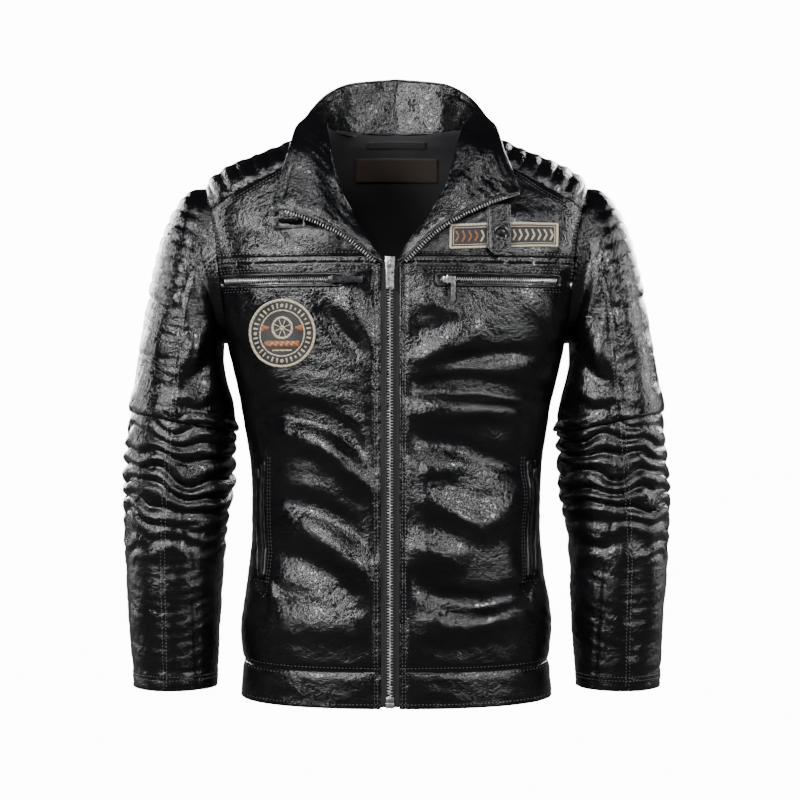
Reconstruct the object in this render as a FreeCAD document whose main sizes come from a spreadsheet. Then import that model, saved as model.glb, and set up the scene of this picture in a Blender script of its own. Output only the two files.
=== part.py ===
import FreeCAD, Part
import math
import os

# Leather riding jacket, standing on its hem band: millimetres, +Z up, the front faces -Y and the
# wearer's left is +X.  The zip closes the front from the hem to the point of the V.

Vector = FreeCAD.Vector
doc = FreeCAD.newDocument("riding_jacket")
sheet = doc.addObject("Spreadsheet::Sheet", "sizes")

# Section rows of the body: height, half width, front depth, back depth, squareness.
bodyRows = {
    "hem": (0, 186, 126, 122, 2.4),
    "band": (42, 183, 126, 124, 2.4),
    "blouse": (80, 186, 126, 126, 2.4),
    "belly": (134, 179, 126, 122, 2.4),
    "waist": (200, 172, 126, 118, 2.4),
    "ribs": (270, 174, 126, 119, 2.4),
    "bust": (350, 187, 126, 125, 2.6),
    "chest": (420, 201, 126, 130, 3.0),
    "armpit": (480, 214, 126, 130, 3.3),
    "vee": (510, 219, 126, 129, 3.4),
    "yoke": (535, 222, 121, 127, 3.4),
    "cape": (575, 228, 111, 117, 3.2),
    "tip": (602, 228, 100, 108, 3.0),
    "slope": (622, 208, 91, 100, 2.8),
    "ridge": (645, 156, 82, 92, 2.6),
    "neck": (678, 84, 72, 77, 2.3),
}
# Section rows of a sleeve: outer edge x and z, inner edge x and z, half depth.
sleeveRows = {
    "root": (187, 604.5, 187, 415.5, 67.5),
    "joint": (240, 603, 207, 418, 68),
    "cap": (259, 586, 208, 396, 75),
    "head": (279, 546, 205, 376, 77),
    "biceps": (292, 496, 201, 362, 76),
    "upper": (304, 436, 196, 345, 73),
    "fold": (317, 348, 193, 318, 70),
    "elbow": (325, 262, 196, 256, 66),
    "crease": (327, 206, 203, 203, 62),
    "forearm": (325, 150, 208, 149, 60),
    "wrist": (320, 75, 211, 75, 56),
    "cuff": (315, 8, 216, 8, 52),
}
# Roll line of the collar: height, x of the right side, x of the left side.
rollRows = [(506, -15, 1), (531, -29, 15), (564, -50, 40), (592, -64, 56), (623, -73, 66),
            (651, -78, 73), (671, -82, 79)]
# Collar edge above each side's roll line, measured from the foot of the V to the wing's tip.
lapelShares = [(0.05, 0.02), (0.36, 0.5), (0.75, 0.84), (1.0, 1.0)]
# Free edge of the standing collar from the wing's tip to the middle of the back: x, y, height.
topEdge = [(120, -94, 631), (112, -70, 658), (105, -36, 685), (98, 8, 704), (87, 42, 722),
           (58, 68, 741), (0, 82, 749)]
# Neck seam from the shoulder to the middle of the back, in degrees from the +X axis.
neckAngles = [0, 28, 56, 90]

sizes = [
    ("leather", 1.2), ("cloth", 0.6), ("layer_gap", 0.3), ("bag_depth", 1.0), ("sleeve_wall", 2.0),
    ("body_gap", 0.5), ("zip_centre", -7.0), ("zip_bottom", 8.0), ("vee_height", 506.0),
    ("leather_edge", 10.5), ("placket_edge", 17.0), ("tape_edge", 25.0), ("tooth_edge", 4.4),
    ("tooth_gap", 0.1), ("tooth_depth", 4.4), ("stop_height", 6.0),
    ("chest_seam", 513.0), ("back_seam", 560.0),
    ("quilt_neck_x", 137.0), ("quilt_neck_z", 617.0), ("quilt_arm_x", 231.0), ("quilt_arm_z", 566.0),
    ("armhole_z", 510.0), ("armhole_half", 99.0), ("armhole_depth", 72.0),
    ("collar_standoff", 13.0), ("roll_standoff", 2.5), ("collar_bulge", 5.0), ("collar_gap", 0.3),
    ("strip_gap", 3.6),
    ("wing_tip_x", 140.0), ("wing_tip_right", 572.0), ("wing_tip_left", 590.0),
    ("chest_zip_z", 486.0), ("chest_zip_half", 4.0), ("chest_zip_right", 64.0),
    ("chest_zip_left", 50.0), ("chest_zip_run", 133.0), ("chain_proud", 0.8),
    ("chest_bag_low", 380.0), ("chest_bag_high", 500.0), ("welt_border", 4.0), ("welt_proud", 1.0),
    ("hand_zip_x", 158.0), ("hand_zip_half", 3.5), ("hand_zip_low", 148.0), ("hand_zip_high", 275.0),
    ("hand_bag_in", 60.0), ("rivet_x", 203.0), ("rivet_radius", 4.5), ("rivet_proud", 2.0),
    ("badge_x", -130.0), ("badge_z", 426.0), ("badge_radius", 39.0), ("badge_proud", 1.4),
    ("plate_x", 123.0), ("plate_z", 537.0), ("plate_width", 125.0), ("plate_height", 28.0),
    ("plate_tilt", 2.0),
    ("slider_width", 11.0), ("slider_height", 14.0), ("slider_plate", 1.4), ("slider_clear", 0.4),
    ("slider_post", 2.0), ("pull_width", 9.0), ("pull_height", 30.0), ("pull_thick", 2.4),
    ("pin_radius", 0.8), ("pin_clear", 0.15),
    ("pocket_slider_width", 10.0), ("pocket_slider_height", 7.0), ("pocket_slider_clear", 3.2),
    ("hand_slider_clear", 1.6),
    ("pocket_pull_long", 34.0), ("pocket_pull_high", 7.0), ("pocket_pull_thick", 2.0),
    ("ring_x", -122.0), ("ring_z", 558.0), ("ring_width", 38.0), ("ring_height", 14.0),
    ("ring_wire", 1.7), ("ring_clear", 1.5), ("keeper_width", 22.0),
    ("strap_x", 116.0), ("strap_top", 573.0), ("strap_bottom", 513.0), ("strap_width", 28.0),
    ("strap_thick", 2.6), ("strap_clear", 3.4), ("snap_z", 539.0), ("snap_radius", 9.0),
    ("snap_thick", 3.0), ("label_width", 104.0), ("label_height", 30.0), ("label_z", 640.0),
    ("loop_width", 70.0), ("loop_drop", 9.0),
]


def fillSheet():
    row = 1
    for alias, value in sizes:
        sheet.set("A%d" % row, alias)
        sheet.set("B%d" % row, str(value))
        sheet.setAlias("B%d" % row, alias)
        row += 1
    for table, fields in ((bodyRows, ("level", "half", "front", "back", "square")),
                          (sleeveRows, ("outer_x", "outer_z", "inner_x", "inner_z", "depth"))):
        for name, values in table.items():
            for field, value in zip(fields, values):
                alias = name + "_" + field
                sheet.set("A%d" % row, alias)
                sheet.set("B%d" % row, str(value))
                sheet.setAlias("B%d" % row, alias)
                row += 1
    doc.recompute()


def size(alias):
    return float(sheet.get(alias))


# ---------------------------------------------------------------- the body's surface
def interpolate(knots, values, at):
    """Smooth curve through rising knots that never swings past its values."""
    at = min(max(at, knots[0]), knots[-1])
    slopes = [(values[i + 1] - values[i]) / (knots[i + 1] - knots[i]) for i in range(len(knots) - 1)]
    tangents = [slopes[0]]
    for before, after in zip(slopes, slopes[1:]):
        tangents.append(2 * before * after / (before + after) if before * after > 0 else 0.0)
    tangents.append(slopes[-1])
    i = max(k for k in range(len(knots) - 1) if knots[k] <= at)
    span = knots[i + 1] - knots[i]
    part = (at - knots[i]) / span
    return (values[i] * (1 + 2 * part) * (1 - part) ** 2 + values[i + 1] * part * part * (3 - 2 * part)
            + span * (tangents[i] * part * (1 - part) ** 2 - tangents[i + 1] * part * part * (1 - part)))


def bodySection(height):
    names = list(bodyRows)
    levels = [size(name + "_level") for name in names]
    return [interpolate(levels, [size(name + "_" + field) for name in names], height)
            for field in ("half", "front", "back", "square")]


sectionCache = {}


def section(height):
    key = round(height, 4)
    if key not in sectionCache:
        sectionCache[key] = bodySection(height)
    return sectionCache[key]


def skinPoint(angle, height):
    half, front, back, square = section(height)
    depth = front if math.sin(angle) < 0 else back
    reach = (abs(math.cos(angle) / half) ** square + abs(math.sin(angle) / depth) ** square)
    reach = reach ** (-1 / square)
    return Vector(reach * math.cos(angle), reach * math.sin(angle), height)


def skinNormal(angle, height):
    step = 0.01
    top = size("neck_level")
    low, high = max(height - 1.0, 0.0), min(height + 1.0, top)
    around = skinPoint(angle + step, height) - skinPoint(angle - step, height)
    upward = skinPoint(angle, high) - skinPoint(angle, low)
    if height <= 0.0:
        upward = Vector(0, 0, 1)  # the hem's lower edge stays level
    return around.cross(upward).normalize()


def skin(angle, height, offset):
    return skinPoint(angle, height) + skinNormal(angle, height) * offset


def frontAngle(x, height):
    """Angle of the front surface's point at this x."""
    half, front, _, square = section(height)
    share = min(abs(x) / half, 0.999)
    y = -front * (1 - share ** square) ** (1 / square)
    return math.atan2(y, math.copysign(share * half, x))


def frontY(x, height):
    return skinPoint(frontAngle(x, height), height).y


# ---------------------------------------------------------------- closed sheets
def sheetSolid(outer, inner):
    """Closed solid between two matching grids of points."""
    def surface(grid):
        made = Part.BSplineSurface()
        made.interpolate(grid)
        return made

    def borders(made):
        u0, u1, v0, v1 = made.bounds()
        return [made.uIso(u0), made.vIso(v1), made.uIso(u1), made.vIso(v0)]

    def rim(one, other):
        """Strip between two border curves; a level one is a flat face."""
        starts = [curve.value(curve.FirstParameter) for curve in (one, other)]
        ends = [curve.value(curve.LastParameter) for curve in (one, other)]
        levels = [curve.value(curve.FirstParameter + share * (curve.LastParameter - curve.FirstParameter)).z
                  for curve in (one, other) for share in (0.0, 0.3, 0.5, 0.8, 1.0)]
        if max(levels) - min(levels) > 1e-7:
            return Part.makeRuledSurface(one.toShape(), other.toShape())
        sides = [one.toShape(), Part.makeLine(ends[0], ends[1]), other.toShape(),
                 Part.makeLine(starts[1], starts[0])]
        return Part.Face(Part.Wire(Part.__sortEdges__(sides)))

    first, second = surface(outer), surface(inner)
    faces = [first.toShape(), second.toShape()]
    for one, other in zip(borders(first), borders(second)):
        faces.append(rim(one, other))
    shell = Part.Compound(faces)
    shell.sewShape(0.01)
    solid = Part.Solid(Part.Shell(shell.Faces))
    if solid.Volume < 0:
        solid.reverse()
    return solid


def patch(startAngle, endAngle, low, high, outside, inside, columns=24):
    """Part of the body's skin between two angle functions of height and two offsets."""
    grids = []
    rows = max(4, round((high - low) / (9.0 if high < 600 else 4.5)))
    for offset in (outside, inside):
        grid = []
        for row in range(rows + 1):
            height = low + (high - low) * row / rows
            start, end = startAngle(height), endAngle(height)
            grid.append([skin(start + (end - start) * column / columns, height, offset)
                         for column in range(columns + 1)])
        grids.append(grid)
    return sheetSolid(*grids)


def frontEdge(side, distance):
    return lambda height: frontAngle(size("zip_centre") + side * distance, height)


def rollEdge(side):
    knots = [row[0] for row in rollRows] + [size("neck_level")]
    column = 1 if side < 0 else 2
    values = [row[column] for row in rollRows] + [rollRows[-1][column] + 0.5 * side]
    return lambda height: frontAngle(interpolate(knots, values, height), height)


def sideSeam(side):
    return lambda height: 0.0 if side > 0 else -math.pi


def frontPatch(side, distance, low, high, outside, inside, columns=18):
    return patch(frontEdge(side, distance), sideSeam(side), low, high, outside, inside, columns)


def backPatch(low, high, outside, inside):
    return patch(lambda height: 0.0, lambda height: math.pi, low, high, outside, inside, 36)


def prism(points, low, high):
    """Outline given as x and z pairs, run along Y."""
    wire = Part.makePolygon([Vector(x, low, z) for x, z in points + points[:1]])
    return Part.Face(wire).extrude(Vector(0, high - low, 0))


def block(x0, x1, y0, y1, z0, z1):
    return Part.makeBox(abs(x1 - x0), y1 - y0, z1 - z0, Vector(min(x0, x1), y0, z0))


def armholeTool(side):
    """Oval bar along X that leaves room for the sleeve's root."""
    oval = Part.Ellipse(Vector(0, 0, 0), size("armhole_half"), size("armhole_depth"))
    face = Part.Face(Part.Wire(oval.toShape()))
    inner, reach = size("root_outer_x") - 45, 130
    axisTurn = FreeCAD.Rotation(Vector(0, 0, 1), Vector(0, 1, 0), Vector(1, 0, 0), "ZXY")
    face.Placement = FreeCAD.Placement(Vector(side * inner, 0, size("armhole_z")), axisTurn)
    return face.extrude(Vector(side * reach, 0, 0))


def feature(name, shape):
    made = doc.addObject("Part::Feature", name)
    made.Label = name
    place = shape.Placement
    made.Shape = shape
    made.Placement = place
    return made


def sideName(base, side):
    return base + ("_right" if side < 0 else "_left")


# ---------------------------------------------------------------- body panels
def chestZipSpan(side):
    start = size(sideName("chest_zip", side))
    return side * start, side * (start + size("chest_zip_run"))


def chestSlot(side, border=0.0):
    start, end = chestZipSpan(side)
    middle, half = size("chest_zip_z"), size("chest_zip_half") + border
    return block(start - side * border, end + side * border, -200, 0, middle - half, middle + half)


def handSlot(side, border=0.0):
    half = size("hand_zip_half") + border
    centre = side * size("hand_zip_x")
    return block(centre - half, centre + half, -200, 0,
                 size("hand_zip_low") - border, size("hand_zip_high") + border)


def aboveQuiltSeam(side):
    """Everything above the slanted seam between the yoke and the shoulder quilt."""
    x0, z0 = size("quilt_neck_x"), size("quilt_neck_z")
    x1, z1 = size("quilt_arm_x"), size("quilt_arm_z")
    slope = (z1 - z0) / (x1 - x0)
    points = [(side * 0, z0 - slope * x0), (side * 300, z0 + slope * (300 - x0)),
              (side * 300, 900), (side * 0, 900)]
    return prism(points, -250, 250)


def makePanels():
    leather, edge = size("leather"), size("leather_edge")
    band, seam, neck = size("band_level"), size("chest_seam"), size("neck_level")
    placket, back = size("placket_edge"), size("back_seam")
    for side in (-1, 1):
        hole = armholeTool(side)
        feature(sideName("hem_band_front", side), frontPatch(side, placket, 0, band, 0, -leather))
        front = frontPatch(side, placket, band, seam, 0, -leather)
        front = front.cut([hole, chestSlot(side), handSlot(side)])
        feature(sideName("front_panel", side), front)
        strip = patch(frontEdge(side, edge), frontEdge(side, placket), 0, size("vee_height"), 0,
                      -leather, 3)
        feature(sideName("zip_placket", side), strip)
        upper = patch(rollEdge(side), sideSeam(side), seam, neck, 0, -leather, 22).cut(hole)
        feature(sideName("front_yoke", side), upper.cut(aboveQuiltSeam(side)))
        feature(sideName("shoulder_quilt", side), upper.common(aboveQuiltSeam(side)))
    holes = [armholeTool(side) for side in (-1, 1)]
    feature("hem_band_back", backPatch(0, band, 0, -leather))
    feature("back_panel", backPatch(band, back, 0, -leather).cut(holes))
    feature("back_yoke", backPatch(back, neck, 0, -leather).cut(holes))


def liningOffsets():
    outside = -(size("leather") + 2 * size("layer_gap") + size("bag_depth"))
    return outside, outside - size("cloth")


def makeLining():
    outside, inside = liningOffsets()
    seam, neck = size("chest_seam"), size("neck_level")
    holes = [armholeTool(side) for side in (-1, 1)]
    edge, start = size("tape_edge") + 1, size("zip_bottom") + 2
    turn = 2 * math.pi
    lower = patch(frontEdge(1, edge), lambda height: frontEdge(-1, edge)(height) + turn,
                  start, seam, outside, inside, 60)
    upper = patch(rollEdge(1), lambda height: rollEdge(-1)(height) + turn,
                  seam, neck, outside, inside, 60)
    feature("body_lining", Part.Compound([lower.cut(holes), upper.cut(holes)]))


def makePockets():
    outside = -(size("leather") + size("layer_gap"))
    inside = outside - size("bag_depth")
    lift = 0.05
    for side in (-1, 1):
        start, end = chestZipSpan(side)
        whole = frontPatch(side, size("placket_edge"), size("band_level"), size("chest_seam"),
                           size("chain_proud"), -size("leather"))
        feature(sideName("chest_zip_chain", side), whole.common(chestSlot(side)))
        feature(sideName("hand_zip_chain", side), whole.common(handSlot(side)))
        bag = frontPatch(side, size("tape_edge") + 3, size("band_level"), size("chest_seam") - 2,
                         outside, inside)
        box = block(start, end, -200, 0, size("chest_bag_low"), size("chest_bag_high"))
        feature(sideName("chest_pocket_bag", side), bag.common(box).cut(armholeTool(side)))
        centre = side * size("hand_zip_x")
        box = block(centre + side * 8, centre - side * size("hand_bag_in"), -200, 0,
                    size("hand_zip_low") - 20, size("hand_zip_high") + 15)
        feature(sideName("hand_pocket_bag", side), bag.common(box))
        proud = frontPatch(side, size("placket_edge"), size("band_level") + 2,
                           size("chest_seam") - 2, lift + size("welt_proud"), lift)
        border = size("welt_border")
        welt = proud.common(chestSlot(side, border)).cut([chestSlot(side), armholeTool(side)])
        feature(sideName("chest_pocket_welt", side), welt)
        feature(sideName("hand_pocket_welt", side),
                proud.common(handSlot(side, border)).cut(handSlot(side)))


def makeZip():
    outside = -(size("leather") + size("layer_gap"))
    tooth, gap, depth = size("tooth_edge"), size("tooth_gap"), size("tooth_depth")
    bottom, vee, centre = size("zip_bottom"), size("vee_height"), size("zip_centre")
    stop = size("stop_height")
    front = -size("hem_front") - depth / 2
    for side in (-1, 1):
        tape = patch(frontEdge(side, tooth + 0.05), frontEdge(side, size("tape_edge")), bottom, vee,
                     outside, outside - size("cloth"), 6)
        feature(sideName("main_zip_tape", side), tape)
        chain = block(centre + side * gap, centre + side * tooth, front, front + depth,
                      bottom + stop, vee - 1)
        strip = lapelStrip(side)
        feature(sideName("main_zip_teeth", side), Part.Compound([chain, strip]))
    feature("main_zip_bottom_stop", block(centre - tooth, centre + tooth, front, front + depth,
                                          bottom, bottom + stop - 0.2))


# ---------------------------------------------------------------- collar
def lapelPoints(side):
    """Edge of the turned-out wing from the foot of the V to its tip."""
    vee, centre = size("vee_height"), size("zip_centre")
    tip = Vector(side * size("wing_tip_x"), 0, size(sideName("wing_tip", side)))
    points = []
    for across, up in lapelShares:
        x = centre + side * 9 + (tip.x - centre - side * 9) * across
        z = vee + 2 + (tip.z - vee - 2) * up
        points.append(Vector(x, frontY(x, z) - size("collar_standoff") * min(1.0, 0.35 + across), z))
    return points


def collarLines(side):
    """Matching points of the roll line and the free edge, from the V to the middle of the back."""
    column = 1 if side < 0 else 2
    roll, edge = [], []
    for row in rollRows:
        roll.append(skin(frontAngle(row[column], row[0]), row[0], size("roll_standoff")))
    neck = size("neck_level")
    for degrees in neckAngles:
        at = skinPoint(math.radians(degrees), neck)
        roll.append(Vector(side * at.x, at.y, neck + size("roll_standoff")))
    edge = lapelPoints(side)
    for x, y, z in topEdge:
        if z < neck - 15:
            edge.append(skin(frontAngle(side * x, z), z, size("collar_standoff")))
        else:
            edge.append(Vector(side * x, y, z))
    return roll, edge


def denser(points, parts):
    """More points on the same line, without swinging past the given ones."""
    knots = list(range(len(points)))
    columns = [[getattr(point, axis) for point in points] for axis in "xyz"]
    spots = [i / parts for i in range((len(points) - 1) * parts + 1)]
    return [Vector(*[interpolate(knots, column, spot) for column in columns]) for spot in spots]


def collarGrid(side, first, last, offset, rows=6, parts=4):
    roll, edge = [denser(line, parts) for line in collarLines(side)]
    first, last = first * parts, None if last is None else last * parts + 1
    grid = []
    for low, high in zip(roll, edge):
        line = []
        for step in range(rows + 1):
            share = step / rows
            line.append(low + (high - low) * share)
        grid.append(line)
    count = len(grid)
    solid = []
    for i in range(count):
        line = []
        for j in range(rows + 1):
            along = grid[min(i + 1, count - 1)][j] - grid[max(i - 1, 0)][j]
            across = grid[i][min(j + 1, rows)] - grid[i][max(j - 1, 0)]
            if i == count - 1:
                along = Vector(-side, 0, 0)
            normal = along.cross(across).normalize() * side
            share = j / rows
            bulge = size("collar_bulge") * 4 * share * (1 - share) * min(1.0, i / parts / 3)
            line.append(grid[i][j] - normal * (bulge * wingSense(i, count) + offset))
        solid.append(line)
    return solid[first:last]


def wingSense(index, count):
    """The wings bow outwards; the standing part behind the neck bows inwards."""
    return 1.0 - 1.4 * max(0.0, index / (count - 1) - 0.5) / 0.5


def collarSheet(side, first, last, near, far):
    return sheetSolid(collarGrid(side, first, last, near), collarGrid(side, first, last, far))


def wholeCollar(first, near, far):
    grids = []
    for offset in (near, far):
        right = collarGrid(-1, first, None, offset)
        left = collarGrid(1, first, None, offset)
        grids.append(right + left[::-1][1:])
    return sheetSolid(*grids)


def lapelStrip(side):
    """Row of teeth along the wing's edge, above the V."""
    edge = denser(lapelPoints(side), 4)
    width, half = size("tooth_edge"), size("tooth_depth") / 4
    grids = []
    for offset in (-half, half):
        grid = []
        for i, spot in enumerate(edge):
            along = edge[min(i + 1, len(edge) - 1)] - edge[max(i - 1, 0)]
            outward = Vector(side * along.z, 0, -abs(along.x)).normalize()
            start = spot + outward * size("strip_gap")
            grid.append([start + Vector(0, offset, 0), start + outward * width + Vector(0, offset, 0)])
        grids.append(grid)
    return sheetSolid(*grids)


def makeCollar():
    gap, leather = size("collar_gap"), size("leather")
    split = 2
    for side in (-1, 1):
        feature(sideName("lapel_facing", side),
                collarSheet(side, 0, split, gap, gap + leather))
    feature("collar_facing", wholeCollar(split, gap, gap + leather))
    feature("collar_outer", wholeCollar(0, -gap, -gap - leather))


# ---------------------------------------------------------------- sleeves
def sleeveWire(name, side, shrink):
    values = [size(name + "_" + field) for field in ("outer_x", "outer_z", "inner_x", "inner_z", "depth")]
    outer, inner = Vector(values[0], 0, values[1]), Vector(values[2], 0, values[3])
    middle, reach = (outer + inner) * 0.5, (outer - inner) * 0.5
    half = reach.Length - shrink
    reach = reach.normalize()
    depth = values[4] - shrink
    count = 16
    points = []
    for i in range(count):
        angle = 2 * math.pi * i / count
        spot = middle + reach * (half * math.cos(angle)) + Vector(0, depth * math.sin(angle), 0)
        points.append(Vector(side * spot.x, spot.y, spot.z))
    curve = Part.BSplineCurve()
    curve.interpolate(Points=points, PeriodicFlag=True)
    return Part.Wire(curve.toShape())


def sleeveTube(names, side, wall, parting=None):
    """Open tube through the named sections; a parting slab trims it before it is bored out."""
    outer = Part.makeLoft([sleeveWire(name, side, 0.0) for name in names], True)
    inner = Part.makeLoft([sleeveWire(name, side, wall) for name in names], True)
    if parting:
        outer = outer.cut(parting)
    return outer.cut(inner)


def cutPlane(name, side, thick):
    """Thin slab on one sleeve section, which parts two neighbouring tubes."""
    outer = Vector(side * size(name + "_outer_x"), 0, size(name + "_outer_z"))
    inner = Vector(side * size(name + "_inner_x"), 0, size(name + "_inner_z"))
    middle = (outer + inner) * 0.5
    normal = (outer - inner).cross(Vector(0, side, 0)).normalize()
    slab = Part.makePlane(400, 400, middle, normal)
    slab.translate(middle - slab.CenterOfMass - normal * (thick / 2))
    return slab.extrude(normal * thick)


def makeSleeves():
    wall, gap = size("sleeve_wall"), size("body_gap")
    for side in (-1, 1):
        head = sleeveTube(("root", "joint", "cap", "head"), side, wall, cutPlane("head", side, 2 * gap))
        feature(sideName("sleeve_head", side), head)
        feature(sideName("upper_sleeve", side), sleeveTube(("head", "biceps", "upper", "fold"), side, wall))
        elbow = sleeveTube(("fold", "elbow", "crease"), side, wall, cutPlane("crease", side, 2 * gap))
        feature(sideName("elbow_section", side), elbow)
        forearm = sleeveTube(("crease", "forearm", "wrist", "cuff"), side, wall)
        feature(sideName("forearm_sleeve", side), forearm)


# ---------------------------------------------------------------- badges, label, loop
def makeTrims():
    lift = 0.03
    proud = lift + size("badge_proud")
    seam = size("chest_seam")
    disk = Part.makeCylinder(size("badge_radius"), 200, Vector(size("badge_x"), -200, size("badge_z")),
                             Vector(0, 1, 0))
    front = frontPatch(-1, size("placket_edge"), size("band_level"), size("chest_zip_z") - 10, proud, lift)
    feature("round_badge", front.common(disk))
    upper = patch(rollEdge(1), sideSeam(1), seam, size("tip_level"), proud, lift, 22)
    width, height = size("plate_width"), size("plate_height")
    plate = block(-width / 2, width / 2, -200, 0, -height / 2, height / 2)
    plate.rotate(Vector(0, 0, 0), Vector(0, 1, 0), size("plate_tilt"))
    plate.translate(Vector(size("plate_x"), 0, size("plate_z")))
    feature("name_badge", upper.common(plate))
    lining = liningOffsets()[1] - 0.05
    behind = backPatch(size("tip_level"), size("neck_level") - 2, lining, lining - size("cloth"))
    half, low = size("label_width") / 2, size("label_z")
    label = block(-half, half, 0, 200, low - size("label_height") / 2, low + size("label_height") / 2)
    feature("neck_label", behind.common(label))
    half, drop, high = size("loop_width") / 2, size("loop_drop"), size("neck_level") - 3
    loop = block(-half, half, 0, 200, high - drop, high)
    feature("hanging_loop", behind.common(loop))
    feature("pocket_rivets", Part.Compound([rivet(side) for side in (-1, 1)]))


def rivet(side):
    x, z = side * size("rivet_x"), size("chest_zip_z") - 3
    angle = frontAngle(x, z)
    normal = skinNormal(angle, z)
    base = skin(angle, z, 0.1)
    radius, proud = size("rivet_radius"), size("rivet_proud")
    stem = Part.makeCylinder(radius, proud, base, normal)
    return stem.makeFillet(proud * 0.45, [stem.Edges[0]])


# ---------------------------------------------------------------- hardware from primitives
def boundBox(name, length, width, height, place):
    made = doc.addObject("Part::Box", name)
    for field, text in (("Length", length), ("Width", width), ("Height", height)):
        made.setExpression(field, text)
    for axis, text in zip("xyz", place):
        made.setExpression("Placement.Base." + axis, text)
    return made


def boundRod(name, radius, length, place, turn):
    made = doc.addObject("Part::Cylinder", name)
    made.setExpression("Radius", radius)
    made.setExpression("Height", length)
    made.Placement = FreeCAD.Placement(Vector(), turn)
    for axis, text in zip("xyz", place):
        made.setExpression("Placement.Base." + axis, text)
    return made


def joined(name, kind, pieces):
    made = doc.addObject(kind, name)
    made.Label = name
    if kind == "Part::Cut":
        made.Base, made.Tool = pieces
    else:
        made.Shapes = pieces
    return made


alongX = FreeCAD.Rotation(Vector(0, 1, 0), 90)
chainFace = "-sizes.hem_front - sizes.tooth_depth / 2"


def makeMainSlider():
    """Two plates joined by the post between the splayed chains, with a bridge for the pull."""
    wide, thick = "sizes.slider_width", "sizes.slider_plate"
    left = "sizes.zip_centre - sizes.slider_width / 2"
    low = "sizes.vee_height - 8"
    frontY0 = chainFace + " - sizes.slider_clear - sizes.slider_plate"
    backY0 = chainFace + " + sizes.tooth_depth + sizes.slider_clear"
    front = boundBox("slider_front", wide, thick, "sizes.slider_height", (left, frontY0, low))
    back = boundBox("slider_back", wide, thick, "sizes.slider_height", (left, backY0, low))
    post = boundBox("slider_post_bar", "sizes.slider_post",
                    "sizes.tooth_depth + 2 * sizes.slider_clear + sizes.slider_plate", "3",
                    ("sizes.zip_centre - sizes.slider_post / 2", frontY0, "sizes.vee_height + 2.6"))
    lug = boundBox("slider_lug", "2.4", "4.4", "5",
                   ("sizes.zip_centre - 1.2", frontY0 + " - 4.3", "sizes.vee_height - 5"))
    bore = boundRod("slider_bore", "sizes.pin_radius + sizes.pin_clear", "12",
                    ("sizes.zip_centre - 6", pinY(), pinZ()), alongX)
    solid = joined("slider_solid", "Part::MultiFuse", [front, back, post, lug])
    joined("main_zip_slider", "Part::Cut", (solid, bore))


def pinY():
    return chainFace + " - sizes.slider_clear - sizes.slider_plate - 2.4"


def pinZ():
    return "sizes.vee_height - 2.5"


def makeMainPull():
    """Forked tab that hangs from its pin through the slider's lug."""
    half = "sizes.zip_centre - sizes.pull_width / 2"
    deep = "sizes.pull_thick"
    tabY = pinY() + " - sizes.pull_thick / 2"
    low = pinZ() + " - sizes.pull_height + 2"
    tab = boundBox("pull_tab", "sizes.pull_width", deep, "sizes.pull_height - 8", (half, tabY, low))
    prong = "(sizes.pull_width - 3.4) / 2"
    rise = low + " + sizes.pull_height - 8.5"
    one = boundBox("pull_prong_one", prong, deep, "8.5", (half, tabY, rise))
    other = boundBox("pull_prong_other", prong, deep, "8.5",
                     (half + " + sizes.pull_width - " + prong, tabY, rise))
    pin = boundRod("pull_pin", "sizes.pin_radius", "sizes.pull_width - 1",
                   (half + " + 0.5", pinY(), pinZ()), alongX)
    joined("main_zip_pull", "Part::MultiFuse", [tab, one, other, pin])


def makeRing():
    """Rectangular wire ring with round corners, held by a leather keeper."""
    x, z = size("ring_x"), size("ring_z")
    half, drop, wire = size("ring_width") / 2, size("ring_height"), size("ring_wire")
    inward = x - math.copysign(half, x)
    y = min(frontY(inward, z - drop), frontY(inward, z)) - size("ring_clear") - wire
    corner = 3.5
    left, right, low = x - half, x + half, z - drop
    path = Part.makePolygon([Vector(left, y, z), Vector(right, y, z), Vector(right, y, low),
                             Vector(left, y, low), Vector(left, y, z)])
    face = Part.Face(path)
    slab = face.extrude(Vector(0, wire * 2, 0))
    slab.translate(Vector(0, -wire, 0))
    upright = [edge for edge in slab.Edges if abs(edge.tangentAt(edge.FirstParameter).y) > 0.9]
    slab = slab.makeFillet(corner, upright)
    inner = block(x - half + 2 * wire, x + half - 2 * wire, y - 20, y + 20, z - drop + 2 * wire, z - 2 * wire)
    feature("collar_ring", slab.cut(inner))
    keeper = size("keeper_width") / 2
    clear = 0.8
    back = frontY(x + keeper, z) - 0.1
    strap = block(x - keeper, x + keeper, y - wire - clear - 1.0, back, z - 2 * wire - clear - 1.0,
                  z + clear + 5)
    tunnel = block(x - half, x + half, y - wire - clear, y + wire + clear, z - 2 * wire - clear, z + clear)
    below = [panelSolid("front_yoke", -1), doc.getObject("collar_outer").Shape,
             doc.getObject("main_zip_teeth_right").Shape]
    feature("ring_keeper", strap.cut(tunnel).cut(below).Solids[0])


def panelSolid(name, side):
    return doc.getObject(sideName(name, side)).Shape


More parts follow.
